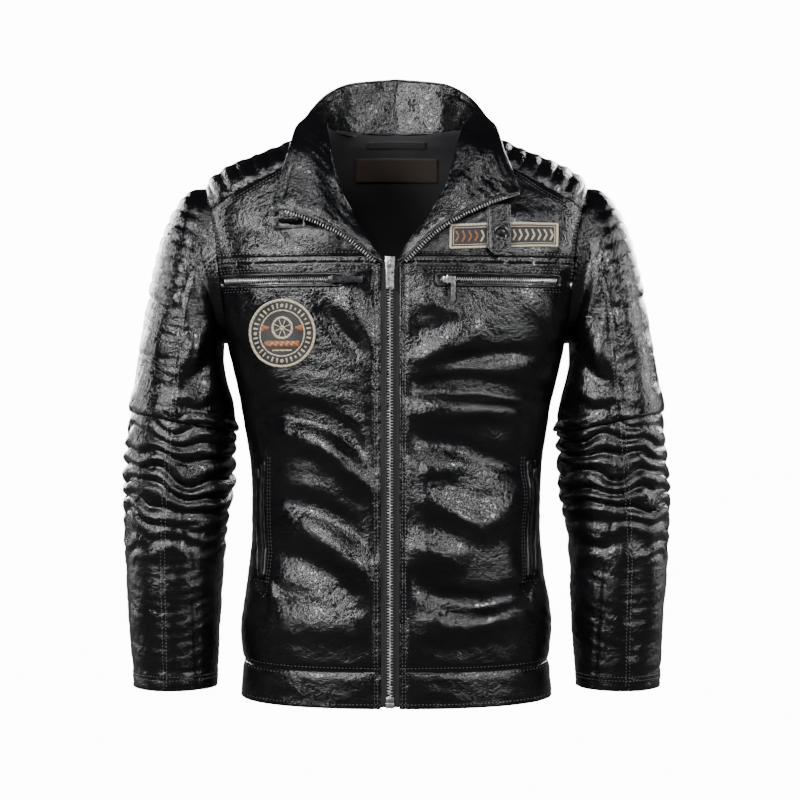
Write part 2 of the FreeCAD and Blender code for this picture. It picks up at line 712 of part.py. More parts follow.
def makeStrap():
    """Pointed tab that hangs from under the left collar wing and closes with a snap."""
    x, top, tip = size("strap_x"), size("strap_top"), size("strap_bottom")
    half, thick = size("strap_width") / 2, size("strap_thick")
    shoulder = tip + half * 0.7
    outline = [(x - half, top), (x + half, top), (x + half, shoulder), (x + 4, tip), (x - 4, tip),
               (x - half, shoulder)]
    yTop = frontY(x - half, top) - size("strap_clear")
    yTip = frontY(x - half, tip) - size("strap_clear")
    lean = (yTip - yTop) / (top - tip)
    slab = prism(outline, 0, thick)
    matrix = FreeCAD.Matrix()
    matrix.A23 = -lean
    matrix.A24 = yTop + lean * top - thick
    feature("collar_strap", slab.transformGeometry(matrix))
    z = size("snap_z")
    y = yTop + lean * (top - z) - thick
    cap = doc.addObject("Part::Cylinder", "strap_snap_cap")
    cap.Label = "strap_snap_cap"
    cap.setExpression("Radius", "sizes.snap_radius")
    cap.setExpression("Height", "sizes.snap_thick")
    slope = FreeCAD.Rotation(Vector(1, 0, 0), 90 + math.degrees(math.atan(lean)))
    cap.Placement = FreeCAD.Placement(Vector(x + 3, y - 0.05, z), slope)


# ---------------------------------------------------------------- pocket sliders on their arcs
def circleThrough(first, second, third):
    """Centre and radius in the plane of three points given as pairs."""
    ax, ay = first
    bx, by = second
    cx, cy = third
    twice = 2 * (ax * (by - cy) + bx * (cy - ay) + cx * (ay - by))
    x = ((ax * ax + ay * ay) * (by - cy) + (bx * bx + by * by) * (cy - ay)
         + (cx * cx + cy * cy) * (ay - by)) / twice
    y = ((ax * ax + ay * ay) * (cx - bx) + (bx * bx + by * by) * (ax - cx)
         + (cx * cx + cy * cy) * (bx - ax)) / twice
    return (x, y), math.hypot(ax - x, ay - y)


def chestArc(side):
    z = size("chest_zip_z")
    start, end = chestZipSpan(side)
    xs = (start, (start + end) / 2, end)
    return circleThrough(*[(x, frontY(x, z)) for x in xs])


def handArc(side):
    x = side * size("hand_zip_x")
    heights = (size("hand_zip_low"), (size("hand_zip_low") + size("hand_zip_high")) / 2,
               size("hand_zip_high"))
    return circleThrough(*[(frontY(x, z), z) for z in heights])


def makeChestSliders():
    """Sliders and pulls of the chest pockets, made on +X and turned onto the zips' arcs."""
    z, clear = size("chest_zip_z"), size("pocket_slider_clear") + size("chain_proud")
    wide, high, thick = size("pocket_slider_width"), size("pocket_slider_height"), size("slider_plate")
    long, tall = size("pocket_pull_long"), size("pocket_pull_high")
    lugHalf, lugReach, lugHigh, reach = 1.4, 3.4, 2.0, 2.2
    for side in (-1, 1):
        (middleX, middleY), radius = chestArc(side)
        start, end = chestZipSpan(side)
        x = start + side * wide * 0.8
        angle = math.degrees(math.atan2(-math.sqrt(radius ** 2 - (x - middleX) ** 2), x - middleX))
        back = radius + clear
        face = back + thick
        axis = face + lugReach - 1.5
        plate = block(back, face, -wide / 2, wide / 2, z - high / 2, z + high / 2)
        lug = block(face - 0.1, face + lugReach, -lugHalf, lugHalf, z - lugHigh, z + lugHigh)
        pin = Part.makeCylinder(size("pin_radius"), high + 3, Vector(axis, 0, z - high / 2 - 1.5))
        hole = Part.makeCylinder(size("pin_radius") + size("pin_clear"), high + 5,
                                 Vector(axis, 0, z - high / 2 - 2.5))
        slider = plate.fuse(lug).cut(hole)
        near = axis - size("pocket_pull_thick") / 2
        far = near + size("pocket_pull_thick")
        fork = [block(near, far, -lugHalf, reach + 0.1, z - tall / 2, z - reach),
                block(near, far, -lugHalf, reach + 0.1, z + reach, z + tall / 2)]
        if side < 0:
            bar = block(near, far, reach, long, z - tall / 2, z + tall / 2)
        else:
            bar = block(near, far, reach, 9.0, z - tall / 2, z + tall / 2)
            bar = bar.fuse(block(near, far, 4.0, 9.0, z - long * 0.7, z - tall / 2 + 0.1))
        pull = bar.fuse(fork).fuse(pin).cut(lug.copy())
        for name, shape in (("chest_zip_slider", slider), ("chest_zip_pull", pull)):
            shape.rotate(Vector(), Vector(0, 0, 1), angle)
            shape.translate(Vector(middleX, middleY, 0))
            feature(sideName(name, side), shape)


def makeHandSliders():
    clear = size("hand_slider_clear") + size("chain_proud") + size("welt_proud")
    wide, thick = size("pocket_slider_width"), size("slider_plate")
    for side in (-1, 1):
        x = side * size("hand_zip_x")
        (cy, cz), radius = handArc(side)
        z = size("hand_zip_high") - wide
        sense = 1 if cy < frontY(x, z) else -1
        y = cy + sense * math.sqrt(radius ** 2 - (z - cz) ** 2)
        body = block(-3, 3, -clear - thick, -clear, -wide / 2, wide / 2)
        body.rotate(Vector(), Vector(1, 0, 0), math.degrees(math.atan2(z - cz, y - cy)))
        normal = skinNormal(frontAngle(x, z), z)
        body.rotate(Vector(), Vector(0, 0, 1), math.degrees(math.atan2(normal.x, -normal.y)))
        body.translate(Vector(x, y, z))
        feature(sideName("hand_zip_slider", side), body)


nodeSkip = ("slider_front", "slider_back", "slider_post_bar", "slider_lug", "slider_bore",
            "slider_solid", "pull_tab", "pull_prong_one", "pull_prong_other", "pull_pin", "sizes")


def main():
    fillSheet()
    makePanels()
    makeLining()
    makePockets()
    makeCollar()
    makeZip()
    makeSleeves()
    makeTrims()
    makeMainSlider()
    makeMainPull()
    makeRing()
    makeStrap()
    makeChestSliders()
    makeHandSliders()
    doc.recompute()
    os.makedirs("parts", exist_ok=True)
    nodes = [thing for thing in doc.Objects if thing.Name not in nodeSkip]
    for thing in doc.Objects:
        if "Invalid" in thing.State or "Error" in thing.State:
            raise RuntimeError(thing.Name + " failed")
    bad = [thing.Label for thing in nodes if thing.Shape.isNull() or not thing.Shape.isValid()]
    if bad:
        raise RuntimeError("bad shapes: " + ", ".join(bad))
    for thing in nodes:
        thing.Shape.exportStep("parts/" + thing.Label + ".step")
        box = thing.Shape.BoundBox
        print("%-24s solids %d volume %9.1f  x %7.1f %7.1f  y %7.1f %7.1f  z %6.1f %6.1f" % (
            thing.Label, len(thing.Shape.Solids), thing.Shape.Volume, box.XMin, box.XMax, box.YMin,
            box.YMax, box.ZMin, box.ZMax))


main()
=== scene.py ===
import bpy
import bmesh
import math
import random
import numpy as np
from mathutils import Matrix, Vector
from mathutils.bvhtree import BVHTree


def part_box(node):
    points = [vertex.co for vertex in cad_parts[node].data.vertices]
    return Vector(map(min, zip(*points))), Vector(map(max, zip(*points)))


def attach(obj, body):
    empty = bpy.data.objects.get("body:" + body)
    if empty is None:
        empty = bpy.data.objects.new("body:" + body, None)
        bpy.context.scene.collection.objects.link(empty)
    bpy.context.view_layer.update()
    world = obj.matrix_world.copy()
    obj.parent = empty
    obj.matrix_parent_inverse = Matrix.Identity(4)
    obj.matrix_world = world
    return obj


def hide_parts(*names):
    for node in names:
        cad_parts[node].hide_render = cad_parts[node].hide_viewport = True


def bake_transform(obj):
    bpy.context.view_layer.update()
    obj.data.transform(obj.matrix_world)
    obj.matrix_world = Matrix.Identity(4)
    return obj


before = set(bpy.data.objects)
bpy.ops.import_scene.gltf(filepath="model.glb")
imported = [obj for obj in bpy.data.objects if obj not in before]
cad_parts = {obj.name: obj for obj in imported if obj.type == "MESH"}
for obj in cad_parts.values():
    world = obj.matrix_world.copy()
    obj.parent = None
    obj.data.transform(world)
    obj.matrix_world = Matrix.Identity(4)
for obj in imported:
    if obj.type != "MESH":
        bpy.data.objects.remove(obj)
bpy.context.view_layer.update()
mm = 0.001  # lengths below are in millimetres unless a name says otherwise
random.seed(7)
bpy.ops.object.select_all(action="DESELECT")


bodySections = {  # height: half width, front depth, back depth, squareness
    0: (186, 126, 122, 2.4), 42: (183, 126, 124, 2.4), 80: (186, 126, 126, 2.4),
    134: (179, 126, 122, 2.4), 200: (172, 126, 118, 2.4), 270: (174, 126, 119, 2.4),
    350: (187, 126, 125, 2.6), 420: (201, 126, 130, 3.0), 480: (214, 126, 130, 3.3),
    510: (219, 126, 129, 3.4), 535: (222, 121, 127, 3.4), 575: (228, 111, 117, 3.2),
    602: (228, 100, 108, 3.0), 622: (208, 91, 100, 2.8), 645: (156, 82, 92, 2.6),
    678: (84, 72, 77, 2.3),
}
body = {
    "zipX": -7.0, "bandTop": 42.0, "chestSeam": 513.0, "backSeam": 560.0, "neck": 678.0,
    "vee": 506.0, "edge": 10.5, "placket": 17.0, "leather": 1.3,
    "armholeZ": 510.0, "armholeHigh": 98.0, "armholeDeep": 71.0,
    "quilt": ((137.0, 617.0), (231.0, 566.0)), "step": 2.8,
}


# Smooth curve through rising knots that stays within its values.
def smoothThrough(knots, values, at):
    knots, values = np.asarray(knots, float), np.asarray(values, float)
    at = np.clip(np.asarray(at, float), knots[0], knots[-1])
    slopes = np.diff(values) / np.diff(knots)
    middle = np.where(slopes[:-1] * slopes[1:] > 0,
                      2 * slopes[:-1] * slopes[1:] / np.where(slopes[:-1] + slopes[1:] == 0, 1,
                                                             slopes[:-1] + slopes[1:]), 0)
    tangents = np.concatenate([slopes[:1], middle, slopes[-1:]])
    i = np.clip(np.searchsorted(knots, at, side="right") - 1, 0, len(knots) - 2)
    span = knots[i + 1] - knots[i]
    part = (at - knots[i]) / span
    return (values[i] * (1 + 2 * part) * (1 - part) ** 2 + values[i + 1] * part ** 2 * (3 - 2 * part)
            + span * (tangents[i] * part * (1 - part) ** 2 - tangents[i + 1] * part ** 2 * (1 - part)))


def bodyValues(z):
    knots = list(bodySections)
    return [smoothThrough(knots, [bodySections[k][column] for k in knots], z) for column in range(4)]


def skinPoint(angle, z):
    half, front, back, square = bodyValues(z)
    depth = np.where(np.sin(angle) < 0, front, back)
    reach = np.abs(np.cos(angle) / half) ** square + np.abs(np.sin(angle) / depth) ** square
    reach = reach ** (-1 / square)
    return np.stack([reach * np.cos(angle), reach * np.sin(angle), z + 0 * angle], axis=-1)


def skinNormal(angle, z):
    around = skinPoint(angle + 0.01, z) - skinPoint(angle - 0.01, z)
    upward = skinPoint(angle, np.minimum(z + 1.5, body["neck"])) - skinPoint(angle, np.maximum(z - 1.5, 0))
    normal = np.cross(around, upward)
    return normal / np.linalg.norm(normal, axis=-1, keepdims=True)


def frontAngle(x, z):
    half, front, _, square = bodyValues(z)
    share = np.minimum(np.abs(x) / half, 0.999)
    y = -front * (1 - share ** square) ** (1 / square)
    return np.arctan2(y, np.sign(x) * share * half)


rollLine = {  # height: x of the roll line on the wearer's right and left
    506: (-15, 1), 531: (-29, 15), 564: (-50, 40), 592: (-64, 56), 623: (-73, 66),
    651: (-78, 73), 671: (-82, 79), 678: (-83, 80),
}


def openingX(side, z):
    column = 0 if side < 0 else 1
    knots = list(rollLine)
    rolled = smoothThrough(knots, [rollLine[k][column] for k in knots], z)
    straight = body["zipX"] + side * body["edge"]
    return np.where(z > body["vee"], rolled, straight)


def meshFrom(name, points, faces, smooth=True):
    mesh = bpy.data.meshes.new(name)
    mesh.from_pydata((np.asarray(points) * mm).tolist(), [], faces)
    mesh.update()
    piece = bpy.data.objects.new(name, mesh)
    bpy.context.scene.collection.objects.link(piece)
    if smooth:
        mesh.shade_smooth()
    return piece


def gridFaces(rows, columns, closed=False):
    index = np.arange(rows * columns).reshape(rows, columns)
    if closed:
        index = np.concatenate([index, index[:, :1]], axis=1)
    quads = np.stack([index[:-1, :-1], index[:-1, 1:], index[1:, 1:], index[1:, :-1]], axis=-1)
    return quads.reshape(-1, 4).tolist()


def applyModifiers(piece):
    bpy.ops.object.select_all(action="DESELECT")
    bpy.context.view_layer.objects.active = piece
    piece.select_set(True)
    for modifier in list(piece.modifiers):
        bpy.ops.object.modifier_apply(modifier=modifier.name)
    piece.select_set(False)


def thicken(piece, depth, offset=-1.0):
    wall = piece.modifiers.new("wall", "SOLIDIFY")
    wall.thickness = depth * mm
    wall.offset = offset
    wall.use_even_offset = False
    applyModifiers(piece)


def readPoints(mesh):
    points = np.empty(len(mesh.vertices) * 3)
    mesh.vertices.foreach_get("co", points)
    return points.reshape(-1, 3) / mm


def writePoints(mesh, points):
    mesh.vertices.foreach_set("co", (points * mm).ravel())
    mesh.update()


# Soft random waves of about the given length, the same every run.
def noise(points, scale, seed):
    chosen = np.random.RandomState(seed)
    total = 0
    for _ in range(7):
        way = chosen.normal(size=3)
        way /= np.linalg.norm(way) * scale * chosen.uniform(0.6, 1.5) / 2 / np.pi
        total = total + np.sin(points @ way + chosen.uniform(0, 6.28))
    return total / 3.7


# Distance from each point to a bent line, and how far along it, from 0 to 1.
def alongPath(points, path):
    path = np.asarray(path, float)
    lengths = np.linalg.norm(np.diff(path, axis=0), axis=1)
    starts = np.concatenate([[0], np.cumsum(lengths)])
    best = np.full(len(points), 1e9)
    where = np.zeros(len(points))
    for i, length in enumerate(lengths):
        way = (path[i + 1] - path[i]) / length
        along = np.clip((points - path[i]) @ way, 0, length)
        gap = np.linalg.norm(points - path[i] - along[:, None] * way, axis=1)
        nearer = gap < best
        best[nearer] = gap[nearer]
        where[nearer] = (starts[i] + along[nearer]) / starts[-1]
    return best, where


# Sum of rounded ridges and furrows: path, width, height.
def foldHeight(points, folds):
    total = np.zeros(len(points))
    for path, width, height in folds:
        gap, where = alongPath(points, path)
        taper = np.sin(np.pi * np.clip(where * 0.94 + 0.03, 0, 1)) ** 0.6
        total += height * taper * np.exp(-(gap / width) ** 2)
    return total


pocket = {
    "chestZ": 486.0, "chest": {-1: (-64.0, -197.0), 1: (50.0, 183.0)}, "chestHalf": 4.0,
    "handX": 158.0, "handLow": 148.0, "handHigh": 275.0, "pitch": 2.6,
}
frontFolds = [  # path, width, height
    ([(-62, 470), (-40, 440), (-16, 405)], 16, 4.0),
    ([(-85, 458), (-60, 425), (-34, 395)], 10, -3.0),
    ([(-160, 330), (-128, 338), (-92, 330), (-60, 312), (-34, 284), (-18, 268)], 12, -7.5),
    ([(-118, 308), (-84, 302), (-58, 284), (-36, 258), (-16, 240)], 17, 6.5),
    ([(-112, 212), (-84, 200), (-60, 182), (-36, 156), (-20, 128)], 19, 5.5),
    ([(-128, 236), (-96, 226), (-66, 210), (-40, 190), (-16, 182)], 14, -5.0),
    ([(-150, 176), (-112, 168), (-74, 150), (-46, 120)], 14, -3.5),
    ([(12, 382), (46, 392), (90, 398), (140, 404), (176, 398)], 9, -3.0),
    ([(8, 360), (46, 366), (96, 364), (150, 356), (182, 344)], 12, -8.0),
    ([(10, 388), (40, 398), (70, 416), (98, 440)], 18, 5.0),
    ([(14, 340), (54, 338), (100, 340), (146, 336)], 15, 4.5),
    ([(8, 272), (34, 268), (62, 278), (92, 292)], 16, 3.5),
    ([(8, 244), (40, 234), (74, 216), (96, 206), (124, 222), (150, 246)], 16, 4.5),
    ([(10, 306), (50, 300), (96, 286), (150, 270)], 13, -4.0),
    ([(10, 184), (46, 176), (84, 172)], 20, 5.0),
    ([(8, 150), (50, 126), (100, 118), (150, 128), (176, 140)], 12, -4.5),
    ([(20, 96), (76, 92), (130, 104), (168, 116)], 16, 3.5),
    ([(-150, 88), (-104, 96), (-56, 92), (-20, 84)], 18, 2.5),
    ([(-166, 150), (-150, 128), (-160, 104)], 7, -3.5),
    ([(-150, 142), (-138, 116)], 7, 3.0),
    ([(166, 150), (152, 126), (162, 104)], 7, -3.5),
    ([(-190, 470), (-150, 442), (-120, 418)], 18, -2.0),
    ([(-150, 560), (-110, 540), (-60, 536), (-26, 528)], 15, 3.5),
    ([(-196, 552), (-160, 548), (-120, 528)], 12, -2.5),
    ([(60, 545), (110, 560), (160, 552)], 15, 2.5),
    ([(20, 474), (50, 452), (74, 452)], 13, 2.5),
    ([(150, 470), (180, 440), (196, 410)], 15, 3.0),
    ([(-150, 470), (-180, 440), (-196, 410)], 15, 3.0),
]
backFolds = [
    ([(-150, 420), (-80, 392), (0, 384), (80, 392), (150, 420)], 22, 3.0),
    ([(-160, 300), (-90, 280), (-10, 286), (70, 276), (160, 300)], 20, -3.5),
    ([(-160, 262), (-80, 246), (0, 252), (90, 240), (160, 262)], 18, 4.0),
    ([(-150, 210), (-80, 206), (10, 196), (90, 208), (150, 212)], 16, -3.0),
    ([(-150, 160), (-70, 148), (0, 156), (80, 144), (150, 160)], 18, 3.0),
    ([(-190, 480), (-150, 450), (-120, 400)], 16, 3.0),
    ([(190, 480), (150, 450), (120, 400)], 16, 3.0),
]


# Signed distance above the seam between the yoke and the shoulder quilt.
def quiltGap(points):
    (x0, z0), (x1, z1) = body["quilt"]
    run, drop = x1 - x0, z1 - z0
    length = math.hypot(run, drop)
    return (-(np.abs(points[:, 0]) - x0) * drop + (points[:, 2] - z0) * run) / length


# Distance outside the armhole's oval.
def armholeGap(points):
    tall, deep = body["armholeHigh"], body["armholeDeep"]
    high = (points[:, 2] - body["armholeZ"]) / tall
    wide = points[:, 1] / deep
    share = np.hypot(high, wide)
    size = np.hypot(high * tall, wide * deep) / np.maximum(share, 1e-6)
    return (share - 1) * size


def groove(gap, width=5.0, depth=1.3):
    return -depth * np.exp(-(gap / width) ** 2)


# How far the leather stands off the plain surface.
def bodyRelief(points):
    x, y, z = points.T
    front = y < 0
    flat = points[:, [0, 2]]
    relief = np.where(front, foldHeight(flat, frontFolds) * 1.7, foldHeight(flat, backFolds))
    calm = np.clip((np.abs(x - body["zipX"]) - 10) / 30, 0.25, 1)  # held flat by the zip
    sideways = np.clip(1 - (np.abs(x) - 150) / 60, 0.35, 1)
    relief = relief * np.where(front, calm, 1) * sideways
    relief = relief * np.clip((z - 30) / 45, 0.0, 1) * np.clip((655 - z) / 30, 0, 1)
    relief = relief + noise(points, 70, 3) * 0.9 * np.clip((z - 30) / 30, 0.2, 1)
    relief = relief + noise(points * [1, 1, 1.6], 24, 5) * 0.28
    relief = relief + groove(z - body["bandTop"], 5.0, 2.2)
    relief = relief + np.where(front & (z > 300), groove(z - body["chestSeam"], 4.0, 1.1), 0)
    relief = relief + np.where(~front, groove(z - body["backSeam"], 4.0, 1.2), 0)
    relief = relief + groove(y, 4.0, 1.2)
    relief = relief + groove(armholeGap(points), 6.0, 2.2)
    above = quiltGap(points)
    relief = relief + np.where(front & (z > 530), groove(above, 4.0, 1.3), 0)
    quilt = np.clip(above / 7, 0, 1) * np.clip(-y / 12, 0, 1) * (z > 540)
    ribs = (np.abs(x) - 92 - (z - 640) * 0.55) / 21.5
    ribShape = np.abs(np.sin(np.pi * ribs)) ** 0.55
    ribShape = np.where(np.abs(x) > 88, ribShape, 0.75)
    relief = relief + quilt * (4.2 * ribShape - 1.6)
    placketSeam = groove(np.abs(x - body["zipX"]) - body["placket"], 2.2, 0.9)
    relief = relief + np.where(front & (z < 520), placketSeam, 0)
    for side in (-1, 1):
        start, end = pocket["chest"][side]
        inside = (np.clip((x * side - start * side + 4) / 3, 0, 1)
                  * np.clip((end * side - x * side + 4) / 3, 0, 1))
        relief = relief * (1 - 0.6 * inside * np.exp(-((z - pocket["chestZ"]) / 14) ** 4))
        relief = relief + groove(z - pocket["chestZ"], 5.2, 1.7) * inside * front
        upright = (np.clip((z - pocket["handLow"] + 3) / 3, 0, 1)
                   * np.clip((pocket["handHigh"] + 3 - z) / 3, 0, 1))
        relief = relief + groove(x * side - pocket["handX"], 4.5, 1.6) * upright * front
    relief = np.where(relief < -3.0, -3.0 + 2.6 * np.tanh((relief + 3.0) / 2.6), relief)
    nearZip = np.clip((32 - np.abs(x - body["zipX"])) / 8, 0, 1) * front * (z < 520)
    return relief + nearZip * (np.maximum(relief, -0.9) - relief)


def cutByPlane(piece, spot, normal):
    work = bmesh.new()
    work.from_mesh(piece.data)
    parts = list(work.verts) + list(work.edges) + list(work.faces)
    bmesh.ops.bisect_plane(work, geom=parts, plane_co=Vector(spot) * mm, plane_no=Vector(normal))
    work.to_mesh(piece.data)
    work.free()


# A copy of the piece with only the faces whose middle fits the rule.
def keepFaces(piece, name, rule):
    copy = piece.copy()
    copy.data = piece.data.copy()
    copy.name = copy.data.name = name
    bpy.context.scene.collection.objects.link(copy)
    work = bmesh.new()
    work.from_mesh(copy.data)
    middles = np.array([face.calc_center_median() for face in work.faces]) / mm
    chosen = rule(middles)
    drop = [face for face, good in zip(work.faces, chosen) if not good]
    bmesh.ops.delete(work, geom=drop, context="FACES")
    work.to_mesh(copy.data)
    work.free()
    return copy


# Draws the ragged border of the armhole onto its oval.
def snapToArmhole(piece):
    work = bmesh.new()
    work.from_mesh(piece.data)
    border = [v for v in work.verts if v.is_boundary]
    for vertex in border:
        spot = np.array(vertex.co) / mm
        if abs(spot[0]) < 150 or abs(armholeGap(spot[None])[0]) > 6:
            continue
        high = (spot[2] - body["armholeZ"]) / body["armholeHigh"]
        wide = spot[1] / body["armholeDeep"]
        share = math.hypot(high, wide)
        vertex.co.z = (body["armholeZ"] + (spot[2] - body["armholeZ"]) / share) * mm
        vertex.co.y = spot[1] / share * mm
    work.to_mesh(piece.data)
    work.free()


# Puts each point back on the body's surface and adds the folds.
def raiseOnSkin(piece, lift=0.0, relief=True):
    points = readPoints(piece.data)
    angle = np.arctan2(points[:, 1], points[:, 0])
    height = np.clip(points[:, 2], 0, body["neck"])
    base = skinPoint(angle, height)
    stand = bodyRelief(base) if relief else np.zeros(len(base))
    normal = skinNormal(angle, height)
    normal[height <= 0.5, 2] = 0
    writePoints(piece.data, base + normal * (stand + lift)[:, None])


def bodyGrid(name, start, end, low, high, step):
    rows = int((high - low) / step) + 1
    middle = np.array([(low + high) / 2])
    columns = int(1.15 * abs(np.mean(end(middle) - start(middle))) * 170 / step)
    z = np.linspace(low, high, rows)
    share = np.linspace(0, 1, columns)
    angle = start(z)[:, None] + (end(z) - start(z))[:, None] * share
    points = skinPoint(angle, z[:, None] + 0 * angle)
    return meshFrom(name, points.reshape(-1, 3), gridFaces(rows, columns))


pieces = {}


def makeBody():
    step, wall = body["step"], body["leather"]
    seam, band, neck = body["chestSeam"], body["bandTop"], body["neck"]
    split = {}
    for side, word in ((-1, "Right"), (1, "Left")):
        edge = (lambda z, s=side: frontAngle(openingX(s, z), z))
        seamAngle = (lambda z, s=side: 0 * z + (0.0 if s > 0 else -math.pi))
        borders = (edge, seamAngle) if side > 0 else (seamAngle, edge)
        lower = bodyGrid("lower", *borders, 0, body["vee"], step)
        upper = bodyGrid("upper", *borders, body["vee"], neck, step)
        bpy.ops.object.select_all(action="DESELECT")
        lower.select_set(True)
        upper.select_set(True)
        bpy.context.view_layer.objects.active = lower
        bpy.ops.object.join()
        work = bmesh.new()
        work.from_mesh(lower.data)
        bmesh.ops.remove_doubles(work, verts=work.verts, dist=0.2 * mm)
        work.to_mesh(lower.data)
        work.free()
        placketX = body["zipX"] + side * body["placket"]
        (x0, z0), (x1, z1) = body["quilt"]
        cutByPlane(lower, (0, 0, band), (0, 0, 1))
        cutByPlane(lower, (0, 0, seam), (0, 0, 1))
        cutByPlane(lower, (placketX, 0, 0), (1, 0, 0))
        cutByPlane(lower, (side * x0, 0, z0), (side * -(z1 - z0), 0, x1 - x0))
        outside = lambda m: (armholeGap(m) > 0) | (np.abs(m[:, 0]) < 150)
        inStrip = lambda m, s=side: (((m[:, 0] - body["zipX"]) * s < body["placket"])
                                     & (m[:, 2] < body["vee"] + 1))
        high = lambda m: quiltGap(m) > 0
        plan = {
            "hemBandFront": lambda m: ~inStrip(m) & (m[:, 2] < band),
            "zipPlacket": inStrip,
            "frontPanel": lambda m: ~inStrip(m) & (m[:, 2] > band) & (m[:, 2] < seam) & outside(m),
            "frontYoke": lambda m: ~inStrip(m) & (m[:, 2] > seam) & ~high(m) & outside(m),
            "shoulderQuilt": lambda m: (m[:, 2] > seam) & high(m) & outside(m),
        }
        for label, rule in plan.items():
            split[label + word] = keepFaces(lower, label + word, rule)
        bpy.data.objects.remove(lower)
    back = bodyGrid("back", lambda z: 0 * z, lambda z: 0 * z + math.pi, 0, neck, step)
    cutByPlane(back, (0, 0, band), (0, 0, 1))
    cutByPlane(back, (0, 0, body["backSeam"]), (0, 0, 1))
    outside = lambda m: (armholeGap(m) > 0) | (np.abs(m[:, 0]) < 150)
    split["hemBandBack"] = keepFaces(back, "hemBandBack", lambda m: m[:, 2] < band)
    split["backPanel"] = keepFaces(back, "backPanel",
                                   lambda m: (m[:, 2] > band) & (m[:, 2] < body["backSeam"]) & outside(m))
    split["backYoke"] = keepFaces(back, "backYoke", lambda m: (m[:, 2] > body["backSeam"]) & outside(m))
    bpy.data.objects.remove(back)
    cadNames = {"hemBandFront": "hem_band_front", "zipPlacket": "zip_placket", "frontPanel": "front_panel",
                "frontYoke": "front_yoke", "shoulderQuilt": "shoulder_quilt", "hemBandBack": "hem_band_back",
                "backPanel": "back_panel", "backYoke": "back_yoke"}
    for name, piece in split.items():
        snapToArmhole(piece)
        raiseOnSkin(piece)
        plain = name.replace("Right", "").replace("Left", "")
        tail = "_right" if "Right" in name else "_left" if "Left" in name else ""
        pieces[name] = piece
        thicken(piece, wall)
        piece["cad"] = cadNames[plain] + tail
    print("body panels:", len(split))


sleeveSections = {  # station: outer x and z, inner x and z, half depth
    0.0: (187, 604.5, 187, 415.5, 67.5), 0.6: (240, 603, 207, 418, 68), 1.0: (259, 586, 208, 396, 75),
    2.0: (279, 546, 205, 376, 77), 3.0: (292, 496, 201, 362, 76), 4.0: (304, 436, 196, 345, 73),
    5.5: (317, 348, 193, 318, 70), 7.0: (325, 262, 196, 256, 66), 8.0: (327, 206, 203, 203, 62),
    9.0: (325, 150, 208, 149, 60), 10.4: (320, 75, 211, 75, 56), 11.6: (315, 8, 216, 8, 52),
}
sleeve = {"foldStation": 5.7, "startStation": 0.28, "endStation": 11.6, "wall": 1.4, "step": 2.6,
          "shoulder": (0.45, 3.2), "elbow": (6.0, 8.3)}


def sleevePoint(side, station, angle, swell=0.0):
    knots = list(sleeveSections)
    values = [smoothThrough(knots, [sleeveSections[k][c] for k in knots], station) for c in range(5)]
    ox, oz, ix, iz, deep = values
    middle = np.stack([(ox + ix) / 2, 0 * ox, (oz + iz) / 2], axis=-1)
    reach = np.stack([(ox - ix) / 2, 0 * ox, (oz - iz) / 2], axis=-1)
    size = np.linalg.norm(reach, axis=-1, keepdims=True)
    reach = reach / size
    across = size[..., 0] + swell
    point = middle + reach * (across * np.cos(angle))[..., None]
    point[..., 1] += (deep + swell) * np.sin(angle)
    point[..., 0] *= side
    return point


sleeveFolds = [  # path on distance from the middle and height, width, height
    ([(214, 440), (236, 402), (262, 376)], 10, 4.0),
    ([(206, 420), (224, 384), (246, 360)], 8, -4.0),
    ([(236, 470), (226, 430), (214, 396)], 9, -3.0),
    ([(270, 452), (282, 420), (290, 392)], 14, 2.5),
    ([(198, 372), (230, 352), (262, 350), (318, 362)], 9, 3.5),
]


